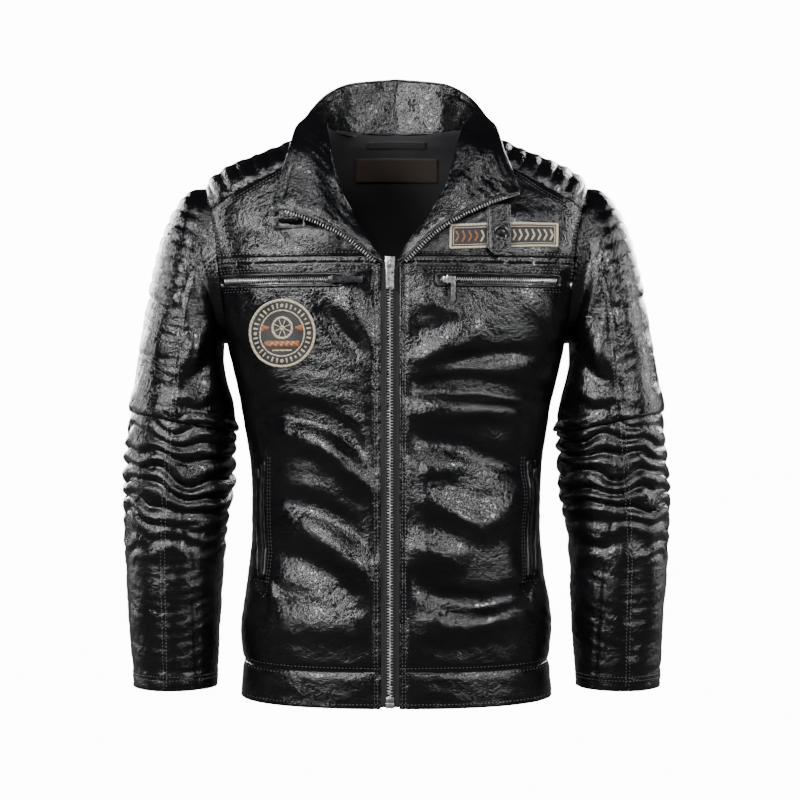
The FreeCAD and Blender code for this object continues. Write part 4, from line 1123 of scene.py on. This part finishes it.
# Softer edges on a copy of the measured solid.
def refine(name, node, width):
    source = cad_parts[node]
    piece = source.copy()
    piece.data = source.data.copy()
    piece.name = piece.data.name = name
    piece.parent = None
    bpy.context.scene.collection.objects.link(piece)
    piece.data.transform(source.matrix_world)
    piece.matrix_world = Matrix()
    work = bmesh.new()
    work.from_mesh(piece.data)
    bmesh.ops.remove_doubles(work, verts=list(work.verts), dist=1e-6)
    bmesh.ops.dissolve_limit(work, angle_limit=math.radians(2), verts=list(work.verts),
                             edges=list(work.edges))
    work.to_mesh(piece.data)
    work.free()
    bevel = piece.modifiers.new("softEdges", "BEVEL")
    bevel.width, bevel.segments, bevel.limit_method = width * mm, 2, "ANGLE"
    bevel.angle_limit = math.radians(40)
    bevel.use_clamp_overlap = True
    applyModifiers(piece)
    piece.data.shade_smooth()
    outwardNormals(piece)
    pieces[name] = piece
    return piece


def blockPiece(name, middle, size, width=0.2):
    bpy.ops.object.select_all(action="DESELECT")
    bpy.ops.mesh.primitive_cube_add(size=1)
    piece = bpy.context.object
    piece.name = piece.data.name = name
    for vertex in piece.data.vertices:
        vertex.co = [(vertex.co[k] * size[k] + middle[k]) * mm for k in range(3)]
    bevel = piece.modifiers.new("softEdges", "BEVEL")
    bevel.width, bevel.segments = width * mm, 2
    applyModifiers(piece)
    pieces[name] = piece
    return piece


def makeHardware(tree):
    refine("mainSlider", "main_zip_slider", 0.5)
    refine("mainPull", "main_zip_pull", 0.45)
    for k in range(8):
        blockPiece("pullRib%d" % k, (-7, -133.75, 477.5 + 1.9 * k), (7.4, 1.0, 0.95), 0.25)
    for word, tail in (("Right", "_right"), ("Left", "_left")):
        refine("chestSlider" + word, "chest_zip_slider" + tail, 0.3)
        refine("chestPull" + word, "chest_zip_pull" + tail, 0.4)
        refine("handSlider" + word, "hand_zip_slider" + tail, 0.3)
    refine("zipStop", "main_zip_bottom_stop", 0.5)
    blockPiece("zipBox", (-7, -126.2, 4.6), (9.6, 3.6, 6.4), 0.7)
    for side, word in ((-1, "Right"), (1, "Left")):
        spots, normals = landOn(tree, *bodyRays(np.array([side * 203.0]), np.array([483.0])))
        profile = [(0, 1.5), (1.8, 1.4), (2.4, 0.9), (3.0, 0.9), (3.6, 1.7), (4.4, 1.2), (4.5, -0.4),
                   (0, -0.4)]
        lathe("rivet" + word, spots[0], normals[0], profile, 28)
    print("hardware")


def seamStitches(tree):
    zipX, seam, band = body["zipX"], body["chestSeam"], body["bandTop"]
    for side in (-1, 1):
        for gap in (14.0, 17.6):
            x = zipX + side * gap
            bodyStitches(tree, [(x, 3), (x, seam - 8)])
        for z in (seam + 4, seam - 4):
            bodyStitches(tree, [(zipX + side * 12, z), (side * 212, z)])
        for z in (band + 4, band - 4, 5):
            bodyStitches(tree, [(zipX + side * 12, z), (side * 183, z)])
            bodyStitches(tree, [(side * 2, z), (side * 180, z)], back=True)
        for z in (body["backSeam"] + 4, body["backSeam"] - 4):
            bodyStitches(tree, [(side * 2, z), (side * 216, z)], back=True)
        (x0, z0), (x1, z1) = body["quilt"]
        for drop in (4, 7.5):
            bodyStitches(tree, [(side * (x0 - 2), z0 - drop), (side * (x1 - 8), z1 - drop)])
        for reach in (5, 8.5):
            path = []
            for turn in np.linspace(-100, 100, 60):
                high = body["armholeZ"] + (body["armholeHigh"] + reach) * math.cos(math.radians(turn))
                deep = (body["armholeDeep"] + reach) * math.sin(math.radians(turn))
                path.append((high, deep))
            z = np.array([p[0] for p in path])
            y = np.array([p[1] for p in path])
            starts = np.stack([0 * z + side * 300, y, z], axis=-1)
            keep = (y < 0) & (z < 590)
            spots, _ = landOn(tree, starts[keep], np.zeros((keep.sum(), 3)) + [-side, 0, 0], reach=150)
            if len(spots):
                even = spread(spots, stitch["pitch"])
                near = [tree.find_nearest(Vector(p)) for p in even]
                addStitches("torso", np.array([n[0] for n in near]), np.array([n[1] for n in near]))


def collarStitches():
    grid, normal, _, share = wholeCollar()
    tree = surfaceTree("collarFacing")
    count = len(grid)
    step = collar["dense"]
    inset = 9.0
    line, ways = [], []
    for i in range(6, count - 6):
        width = np.linalg.norm(grid[i, -1] - grid[i, 0])
        at = max(0.0, 1 - inset / max(width, inset + 1)) * (len(share) - 1)
        low = int(at)
        part = at - low
        line.append(grid[i, low] * (1 - part) + grid[i, min(low + 1, len(share) - 1)] * part)
        ways.append(normal[i, low])
    collarLine(tree, np.array(line), np.array(ways))
    for i in (2 * step - 3, 2 * step + 1):
        collarLine(tree, grid[i, 4:-4], normal[i, 4:-4])
        collarLine(tree, grid[count - 1 - i, 4:-4], normal[count - 1 - i, 4:-4])


def collarLine(tree, line, ways):
    both = spread(np.concatenate([line, ways * 10], axis=1), stitch["pitch"])
    out = both[:, 3:] / np.linalg.norm(both[:, 3:], axis=1, keepdims=True)
    addStitches("torso", *landOn(tree, both[:, :3] + out * 9, -out, reach=20))


def sleeveSeams():
    for side, word in ((-1, "Right"), (1, "Left")):
        fold, start, end = sleeve["foldStation"], sleeve["startStation"], sleeve["endStation"]
        ring = np.linspace(0, 2 * np.pi, 400)
        for back in (0.22, 0.3):
            sleeveStitches(side, word, False, end - back + 0 * ring, ring)
        line = np.linspace(fold + 0.1, end - 0.05, 200)
        for turn in (-1.42, -1.5):
            sleeveStitches(side, word, False, line, turn + 0 * line)
        line = np.linspace(start + 0.9, fold - 0.12, 200)
        for turn in (-1.46, -1.54):
            sleeveStitches(side, word, True, line, turn + 0 * line)
        arc = np.linspace(-1.4, 1.2, 200)
        for place in (0.36, 0.42, 0.62, 0.68):
            at = start + (fold - start) * (0.45 + place * 0.5)
            sleeveStitches(side, word, True, at + 0 * arc, arc)


def makeNeck():
    half = 47.0
    start = lambda z: -frontAngle(half + 0 * z, z)
    end = lambda z: -frontAngle(-half + 0 * z, z)
    skinPatch("neckLabel", start, end, 625, 655, -9.9, 0.6, 16, 50)
    skinPatch("hangingLoop", lambda z: -frontAngle(35 + 0 * z, z), lambda z: -frontAngle(-35 + 0 * z, z),
              666, 674, -7.5, 0.8, 8, 40)


def makeCollarEdges():
    grid = wholeCollar()[0]
    sweep("collarPiping", spread(grid[:, -1], 3.0), 1.7, 8)
    sweep("neckSeam", spread(grid[2 * collar["dense"]:-2 * collar["dense"], 0], 3.0), 1.6, 8)


def makeLining():
    wall = 0.7
    columns = 190
    z = np.concatenate([np.linspace(10, 506, 110), np.linspace(506, 681, 60)[1:]])
    start = frontAngle(openingX(1, z) + np.where(z > 506, 0, 15), z)
    end = frontAngle(openingX(-1, z) - np.where(z > 506, 0, 15), z) + 2 * np.pi
    share = np.linspace(0, 1, columns)
    angle = start[:, None] + (end - start)[:, None] * share
    height = z[:, None] + 0 * angle
    base, normal = skinPoint(angle, height), skinNormal(angle, height)
    waves = noise(base.reshape(-1, 3), 60, 51).reshape(angle.shape) * 0.6
    inward = np.interp(height, [0, 30, 640, 668, 681], [-5.0, -8.6, -8.6, -6.0, 0.6])
    points = base + normal * (inward + waves)[..., None]
    piece = meshFrom("bodyLining", points.reshape(-1, 3), gridFaces(*angle.shape))
    pieces["bodyLining"] = keepFaces(piece, "bodyLiningCut",
                                     lambda m: (armholeGap(m) > 0) | (np.abs(m[:, 0]) < 150))
    bpy.data.objects.remove(piece)
    pieces["bodyLining"].name = "bodyLining"
    thicken(pieces["bodyLining"], wall)


def nodeGroup(name, inputs, outputs):
    group = bpy.data.node_groups.new(name, "ShaderNodeTree")
    for label, kind, value in inputs:
        made = group.interface.new_socket(name=label, in_out="INPUT", socket_type=kind)
        if value is not None:
            made.default_value = value
    for label, kind in outputs:
        group.interface.new_socket(name=label, in_out="OUTPUT", socket_type=kind)
    return group, group.nodes.new("NodeGroupInput"), group.nodes.new("NodeGroupOutput")


# Pebbled leather grain with fine creases: a height and a wear mask.
def makeGrainGroup():
    group, given, out = nodeGroup("leatherGrain", [("Vector", "NodeSocketVector", None),
                                                   ("Pebbles", "NodeSocketFloat", 430.0),
                                                   ("Creases", "NodeSocketFloat", 210.0)],
                                  [("Height", "NodeSocketFloat"), ("Wear", "NodeSocketFloat")])
    nodes, links = group.nodes, group.links
    pebble = nodes.new("ShaderNodeTexVoronoi")
    pebble.feature = "SMOOTH_F1"
    pebble.inputs["Smoothness"].default_value = 0.6
    warp = nodes.new("ShaderNodeTexNoise")
    warp.inputs["Scale"].default_value = 60.0
    warp.inputs["Detail"].default_value = 3.0
    mixVector = nodes.new("ShaderNodeMixRGB")
    mixVector.blend_type = "LINEAR_LIGHT"
    mixVector.inputs["Fac"].default_value = 0.006
    crease = nodes.new("ShaderNodeTexNoise")
    crease.inputs["Detail"].default_value = 6.0
    crease.inputs["Roughness"].default_value = 0.62
    ridged = nodes.new("ShaderNodeMapRange")
    ridged.inputs["From Min"].default_value = 0.42
    ridged.inputs["From Max"].default_value = 0.6
    total = nodes.new("ShaderNodeMath")
    total.operation = "MULTIPLY_ADD"
    total.inputs[1].default_value = 0.55
    broad = nodes.new("ShaderNodeTexNoise")
    broad.inputs["Scale"].default_value = 14.0
    broad.inputs["Detail"].default_value = 4.0
    links.new(given.outputs["Vector"], warp.inputs["Vector"])
    links.new(given.outputs["Vector"], mixVector.inputs["Color1"])
    links.new(warp.outputs["Color"], mixVector.inputs["Color2"])
    links.new(mixVector.outputs["Color"], pebble.inputs["Vector"])
    links.new(given.outputs["Pebbles"], pebble.inputs["Scale"])
    links.new(given.outputs["Vector"], crease.inputs["Vector"])
    links.new(given.outputs["Creases"], crease.inputs["Scale"])
    links.new(crease.outputs["Fac"], ridged.inputs["Value"])
    links.new(pebble.outputs["Distance"], total.inputs[0])
    links.new(ridged.outputs["Result"], total.inputs[2])
    links.new(total.outputs["Value"], out.inputs["Height"])
    links.new(given.outputs["Vector"], broad.inputs["Vector"])
    links.new(broad.outputs["Fac"], out.inputs["Wear"])
    return group


def newMaterial(name, values):
    material = bpy.data.materials.new(name)
    material.use_nodes = True
    shader = material.node_tree.nodes["Principled BSDF"]
    for socket, value in values.items():
        shader.inputs[socket].default_value = value
    return material, material.node_tree.nodes, material.node_tree.links, shader


def leatherMaterial(name, grain, bump=0.5, rough=(0.24, 0.42)):
    material, nodes, links, shader = newMaterial(name, {
        "Specular IOR Level": 0.6})
    spot = nodes.new("ShaderNodeTexCoord")
    texture = nodes.new("ShaderNodeGroup")
    texture.node_tree = grain
    links.new(spot.outputs["Object"], texture.inputs["Vector"])
    bumps = nodes.new("ShaderNodeBump")
    bumps.inputs["Strength"].default_value = bump
    bumps.inputs["Distance"].default_value = 0.0011
    links.new(texture.outputs["Height"], bumps.inputs["Height"])
    links.new(bumps.outputs["Normal"], shader.inputs["Normal"])
    shine = nodes.new("ShaderNodeMapRange")
    shine.inputs["From Min"].default_value = 0.35
    shine.inputs["From Max"].default_value = 0.68
    shine.inputs["To Min"].default_value = rough[0]
    shine.inputs["To Max"].default_value = rough[1]
    links.new(texture.outputs["Wear"], shine.inputs["Value"])
    links.new(shine.outputs["Result"], shader.inputs["Roughness"])
    tint = nodes.new("ShaderNodeValToRGB")
    tint.color_ramp.elements[0].color = (0.0012, 0.0012, 0.0015, 1)
    tint.color_ramp.elements[1].color = (0.004, 0.004, 0.005, 1)
    links.new(texture.outputs["Wear"], tint.inputs["Fac"])
    links.new(tint.outputs["Color"], shader.inputs["Base Color"])
    return material


def clothMaterial(name, color, weave=2600.0):
    material, nodes, links, shader = newMaterial(name, {"Roughness": 0.75, "Sheen Weight": 0.15})
    spot = nodes.new("ShaderNodeTexCoord")
    waves = []
    for direction in ("X", "Z"):
        wave = nodes.new("ShaderNodeTexWave")
        wave.bands_direction = direction
        wave.inputs["Scale"].default_value = weave / 10
        links.new(spot.outputs["Object"], wave.inputs["Vector"])
        waves.append(wave)
    both = nodes.new("ShaderNodeMath")
    both.operation = "MULTIPLY"
    links.new(waves[0].outputs["Fac"], both.inputs[0])
    links.new(waves[1].outputs["Fac"], both.inputs[1])
    bumps = nodes.new("ShaderNodeBump")
    bumps.inputs["Strength"].default_value = 0.4
    bumps.inputs["Distance"].default_value = 0.0004
    links.new(both.outputs["Value"], bumps.inputs["Height"])
    links.new(bumps.outputs["Normal"], shader.inputs["Normal"])
    tint = nodes.new("ShaderNodeValToRGB")
    tint.color_ramp.elements[0].color = tuple(0.6 * c for c in color) + (1,)
    tint.color_ramp.elements[1].color = tuple(color) + (1,)
    links.new(both.outputs["Value"], tint.inputs["Fac"])
    links.new(tint.outputs["Color"], shader.inputs["Base Color"])
    return material


def metalMaterial(name, color, rough=0.28):
    material, nodes, links, shader = newMaterial(name, {"Metallic": 1.0})
    spot = nodes.new("ShaderNodeTexCoord")
    patches = nodes.new("ShaderNodeTexNoise")
    patches.inputs["Scale"].default_value = 260.0
    patches.inputs["Detail"].default_value = 5.0
    links.new(spot.outputs["Object"], patches.inputs["Vector"])
    tint = nodes.new("ShaderNodeValToRGB")
    tint.color_ramp.elements[0].position = 0.35
    tint.color_ramp.elements[0].color = tuple(0.45 * c for c in color) + (1,)
    tint.color_ramp.elements[1].position = 0.65
    tint.color_ramp.elements[1].color = tuple(color) + (1,)
    links.new(patches.outputs["Fac"], tint.inputs["Fac"])
    links.new(tint.outputs["Color"], shader.inputs["Base Color"])
    shine = nodes.new("ShaderNodeMapRange")
    shine.inputs["To Min"].default_value = rough * 0.7
    shine.inputs["To Max"].default_value = rough * 1.5
    links.new(patches.outputs["Fac"], shine.inputs["Value"])
    links.new(shine.outputs["Result"], shader.inputs["Roughness"])
    return material


materials = {}


def threadMaterial(name, color, satin=1400.0):
    material, nodes, links, shader = newMaterial(name, {"Roughness": 0.55, "Sheen Weight": 0.3})
    spot = nodes.new("ShaderNodeTexCoord")
    wave = nodes.new("ShaderNodeTexWave")
    wave.bands_direction = "DIAGONAL"
    wave.inputs["Scale"].default_value = satin / 10
    wave.inputs["Distortion"].default_value = 1.5
    links.new(spot.outputs["Object"], wave.inputs["Vector"])
    bumps = nodes.new("ShaderNodeBump")
    bumps.inputs["Strength"].default_value = 0.6
    bumps.inputs["Distance"].default_value = 0.0004
    links.new(wave.outputs["Fac"], bumps.inputs["Height"])
    links.new(bumps.outputs["Normal"], shader.inputs["Normal"])
    tint = nodes.new("ShaderNodeValToRGB")
    tint.color_ramp.elements[0].color = tuple(0.55 * c for c in color) + (1,)
    tint.color_ramp.elements[1].color = tuple(color) + (1,)
    links.new(wave.outputs["Fac"], tint.inputs["Fac"])
    links.new(tint.outputs["Color"], shader.inputs["Base Color"])
    return material


def makeMaterials():
    grain = makeGrainGroup()
    materials["leather"] = leatherMaterial("blackLeather", grain, 0.27, (0.13, 0.21))
    materials["lining"] = clothMaterial("liningCloth", (0.006, 0.006, 0.009))
    materials["tape"] = clothMaterial("tapeWeave", (0.010, 0.010, 0.011), 5200.0)
    materials["nickel"] = metalMaterial("darkNickel", (0.86, 0.85, 0.83))
    materials["blackNickel"] = metalMaterial("blackNickel", (0.13, 0.13, 0.14), 0.3)
    materials["cream"] = threadMaterial("creamThread", (0.62, 0.52, 0.36))
    materials["rust"] = threadMaterial("rustThread", (0.33, 0.11, 0.025))
    materials["twill"] = threadMaterial("blackTwill", (0.012, 0.012, 0.012), 2200.0)
    materials["label"] = clothMaterial("brownLabel", (0.030, 0.016, 0.008), 4000.0)
    materials["blackThread"] = threadMaterial("blackThread", (0.035, 0.035, 0.037), 4000.0)


def paint(piece, material):
    piece.data.materials.clear()
    piece.data.materials.append(material)


# start of the piece's name, material, slot, body, CAD nodes it stands for; {Side} and {side} are both sides
planRows = [
    ("bodyLining", "lining", "lining", "torso", ["body_lining"]),
    ("collarFacing", "leather", "leather", "torso",
     ["collar_facing", "lapel_facing_right", "lapel_facing_left"]),
    ("collarUnder", "leather", "leather", "torso", ["collar_outer"]),
    ("collarPiping", "leather", "leather", "torso", []),
    ("neckSeam", "leather", "leather", "torso", []),
    ("neckLabel", "label", "embroidery", "torso", ["neck_label"]),
    ("hangingLoop", "lining", "lining", "torso", ["hanging_loop"]),
    ("zipTeeth{Side}", "nickel", "zip_metal", "torso", ["main_zip_teeth_{side}"]),
    ("zipTape{Side}", "tape", "zip_tape", "torso", ["main_zip_tape_{side}"]),
    ("zipCord", "tape", "zip_tape", "torso", []),
    ("chestTeeth{Side}", "nickel", "zip_metal", "torso", ["chest_zip_chain_{side}"]),
    ("handTeeth{Side}", "blackNickel", "zip_metal", "torso", ["hand_zip_chain_{side}"]),
    ("chestWelt{Side}", "leather", "leather", "torso", ["chest_pocket_welt_{side}"]),
    ("handWelt{Side}", "leather", "leather", "torso", ["hand_pocket_welt_{side}"]),
    ("chestBag{Side}", "lining", "lining", "torso", ["chest_pocket_bag_{side}"]),
    ("handBag{Side}", "lining", "lining", "torso", ["hand_pocket_bag_{side}"]),
    ("badgeField", "twill", "embroidery", "torso", ["round_badge"]),
    ("badgeBand", "rust", "embroidery", "torso", []),
    ("badgeWing", "rust", "embroidery", "torso", []),
    ("badge", "cream", "embroidery", "torso", []),
    ("plateField", "twill", "embroidery", "torso", ["name_badge"]),
    ("plateRust", "rust", "embroidery", "torso", []),
    ("plate", "cream", "embroidery", "torso", []),
    ("strapLeather", "leather", "leather", "strap", ["collar_strap"]),
    ("strapSnap", "blackNickel", "zip_metal", "strap", ["strap_snap_cap"]),
    ("strapStitches", "blackThread", "leather", "strap", []),
    ("collarRing", "blackNickel", "zip_metal", "ring", ["collar_ring"]),
    ("ringKeeper", "leather", "leather", "torso", ["ring_keeper"]),
    ("mainSlider", "nickel", "zip_metal", "main_slider", ["main_zip_slider"]),
    ("mainPull", "nickel", "zip_metal", "main_pull", ["main_zip_pull"]),
    ("pullRib", "nickel", "zip_metal", "main_pull", []),
    ("chestSliderRight", "blackNickel", "zip_metal", "chest_slider_right", ["chest_zip_slider_right"]),
    ("chestSliderLeft", "nickel", "zip_metal", "chest_slider_left", ["chest_zip_slider_left"]),
    ("chestPullRight", "blackNickel", "zip_metal", "chest_pull_right", ["chest_zip_pull_right"]),
    ("chestPullLeft", "nickel", "zip_metal", "chest_pull_left", ["chest_zip_pull_left"]),
    ("handSlider{Side}", "blackNickel", "zip_metal", "hand_slider_{side}", ["hand_zip_slider_{side}"]),
    ("zipStop", "nickel", "zip_metal", "torso", ["main_zip_bottom_stop"]),
    ("zipBox", "nickel", "zip_metal", "torso", []),
    ("rivet", "nickel", "zip_metal", "torso", ["pocket_rivets"]),
    ("torsoStitches", "blackThread", "leather", "torso", []),
]


# Writes a row that names {Side} once for each side.
def bothSides(rows):
    found = []
    for name, material, slot, bodyName, nodes in rows:
        words = ("Right", "Left") if "{Side}" in name else ("",)
        for word in words:
            found.append((name.replace("{Side}", word), material, slot,
                          bodyName.replace("{side}", word.lower()),
                          [node.replace("{side}", word.lower()) for node in nodes]))
    return found


plans = bothSides(planRows)


# One object for many small parts of one material.
def joinPieces(group, start):
    chosen = [name for name in pieces if name.startswith(start)]
    if len(chosen) < 2:
        return
    work = bmesh.new()
    for name in chosen:
        work.from_mesh(pieces[name].data)
        bpy.data.objects.remove(pieces.pop(name))
    mesh = bpy.data.meshes.new(group)
    work.to_mesh(mesh)
    work.free()
    piece = bpy.data.objects.new(group, mesh)
    bpy.context.scene.collection.objects.link(piece)
    pieces[group] = piece


def finishPieces():
    makeMaterials()
    for start in ("badgeTick", "badgeDot", "badgeSpoke", "badgeMark", "badgeWing", "plateBorder", "plateLine",
                  "plateRust", "plateMark", "pullRib", "rivet", "zipCord"):
        joinPieces(start + "s", start)
    for name, piece in pieces.items():
        material, slot, bodyName, nodes = "leather", "leather", "torso", []
        for start, *plan in plans:
            if name.startswith(start):
                material, slot, bodyName, nodes = plan
                break
        if "cad" in piece:
            nodes = [piece["cad"]]
            del piece["cad"]
        if name.endswith("Stitches"):
            material = "blackThread"
        paint(piece, materials[material])
        if nodes:
            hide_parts(*nodes)
        if not name.startswith(("upperSleeve", "foreSleeve", "arm", "fore")):
            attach(piece, bodyName)
    for side, word, tail in ((-1, "Right", "_right"), (1, "Left", "_left")):
        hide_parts("sleeve_head" + tail, "upper_sleeve" + tail)
        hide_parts("elbow_section" + tail, "forearm_sleeve" + tail)
        for name in ("upperSleeve" + word, "arm" + word + "Stitches"):
            if name in pieces:
                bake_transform(pieces[name])
        for name in ("foreSleeve" + word, "fore" + word + "Stitches"):
            if name in pieces:
                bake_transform(pieces[name])
    left = [name for name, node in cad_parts.items() if not node.hide_render]
    print("CAD nodes still shown:", left)
    for name in left:
        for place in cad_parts[name].material_slots:
            place.material = materials["nickel"]


studio = {"cameraX": 4.3, "cameraZ": 350.0, "distance": 2126.0, "lens": 79.6, "white": 14.0}

softboxes = [  # name, where it is, what it faces, width and height in m, power in W
    ("softboxLeft", (-1.5, -2.2, 1.2), (0, 0, 0.38), 0.7, 1.1, 80),
    ("softboxRight", (1.75, -2.0, 1.1), (0, 0, 0.35), 0.5, 1.1, 52),
    ("softboxCollar", (-0.5, -1.9, 2.3), (0, 0, 0.5), 0.9, 0.5, 32),
    ("softboxBackLeft", (1.3, 2.2, 1.3), (0, 0, 0.38), 0.8, 1.2, 70),
    ("softboxBackRight", (-1.5, 2.1, 1.1), (0, 0, 0.38), 0.6, 1.2, 50),
    ("rimLeft", (-1.9, 0.5, 0.8), (0, 0, 0.4), 0.3, 1.6, 22),
    ("rimRight", (1.9, 0.5, 0.8), (0, 0, 0.4), 0.3, 1.6, 22),
]


def addSoftbox(name, spot, target, width, height, power):
    light = bpy.data.lights.new(name, "AREA")
    light.shape = "RECTANGLE"
    light.size, light.size_y, light.energy = width, height, power
    holder = bpy.data.objects.new(name, light)
    bpy.context.scene.collection.objects.link(holder)
    holder.location = spot
    holder.rotation_euler = (Vector(target) - Vector(spot)).to_track_quat("-Z", "Y").to_euler()
    return holder


def makeStudio():
    bpy.ops.object.select_all(action="DESELECT")
    bpy.ops.mesh.primitive_plane_add(size=60, location=(0, 0, -0.0005))
    floor = bpy.context.object
    floor.name = "studioFloor"
    material, nodes, links, shader = newMaterial("studioFloor", {"Base Color": (0.04, 0.04, 0.04, 1),
                                                                 "Roughness": 0.9})
    glow, path = nodes.new("ShaderNodeEmission"), nodes.new("ShaderNodeLightPath")
    glow.inputs["Strength"].default_value = studio["white"]
    share = nodes.new("ShaderNodeMath")
    share.operation = "MULTIPLY"
    share.inputs[1].default_value = 0.97
    choose = nodes.new("ShaderNodeMixShader")
    links.new(path.outputs["Is Camera Ray"], share.inputs[0])
    links.new(share.outputs["Value"], choose.inputs["Fac"])
    links.new(shader.outputs["BSDF"], choose.inputs[1])
    links.new(glow.outputs["Emission"], choose.inputs[2])
    links.new(choose.outputs["Shader"], nodes["Material Output"].inputs["Surface"])
    paint(floor, material)
    for light in softboxes:
        addSoftbox(*light)
    world = bpy.data.worlds.new("studioWorld")
    bpy.context.scene.world = world
    world.use_nodes = True
    nodes, links = world.node_tree.nodes, world.node_tree.links
    plain = nodes["Background"]
    plain.inputs["Color"].default_value = (0.9, 0.92, 1.0, 1)
    plain.inputs["Strength"].default_value = 0.02
    bright = nodes.new("ShaderNodeBackground")
    bright.inputs["Color"].default_value = (1, 1, 1, 1)
    bright.inputs["Strength"].default_value = studio["white"]
    choose, path = nodes.new("ShaderNodeMixShader"), nodes.new("ShaderNodeLightPath")
    links.new(path.outputs["Is Camera Ray"], choose.inputs["Fac"])
    links.new(plain.outputs["Background"], choose.inputs[1])
    links.new(bright.outputs["Background"], choose.inputs[2])
    links.new(choose.outputs["Shader"], nodes["World Output"].inputs["Surface"])
    eye = bpy.data.cameras.new("photoCamera")
    eye.lens, eye.sensor_width = studio["lens"], 36.0
    holder = bpy.data.objects.new("photoCamera", eye)
    bpy.context.scene.collection.objects.link(holder)
    holder.location = (studio["cameraX"] * mm, -studio["distance"] * mm, studio["cameraZ"] * mm)
    holder.rotation_euler = (math.pi / 2, 0, 0)
    bpy.context.scene.camera = holder


def main():
    makeBody()
    for side, word in ((-1, "Right"), (1, "Left")):
        makeSleeve(side, word)
    makeCollar()
    makeCollarEdges()
    makeLining()
    makeNeck()
    outer = surfaceTree(*[name for name in pieces if name.startswith(
        ("hemBand", "zipPlacket", "frontPanel", "frontYoke", "shoulderQuilt", "backPanel", "backYoke"))])
    makeZip()
    makePockets(outer)
    makeBadges(outer)
    makeStrapAndRing()
    makeHardware(outer)
    seamStitches(outer)
    collarStitches()
    sleeveSeams()
    makeStitches()
    finishPieces()
    makeStudio()


main()
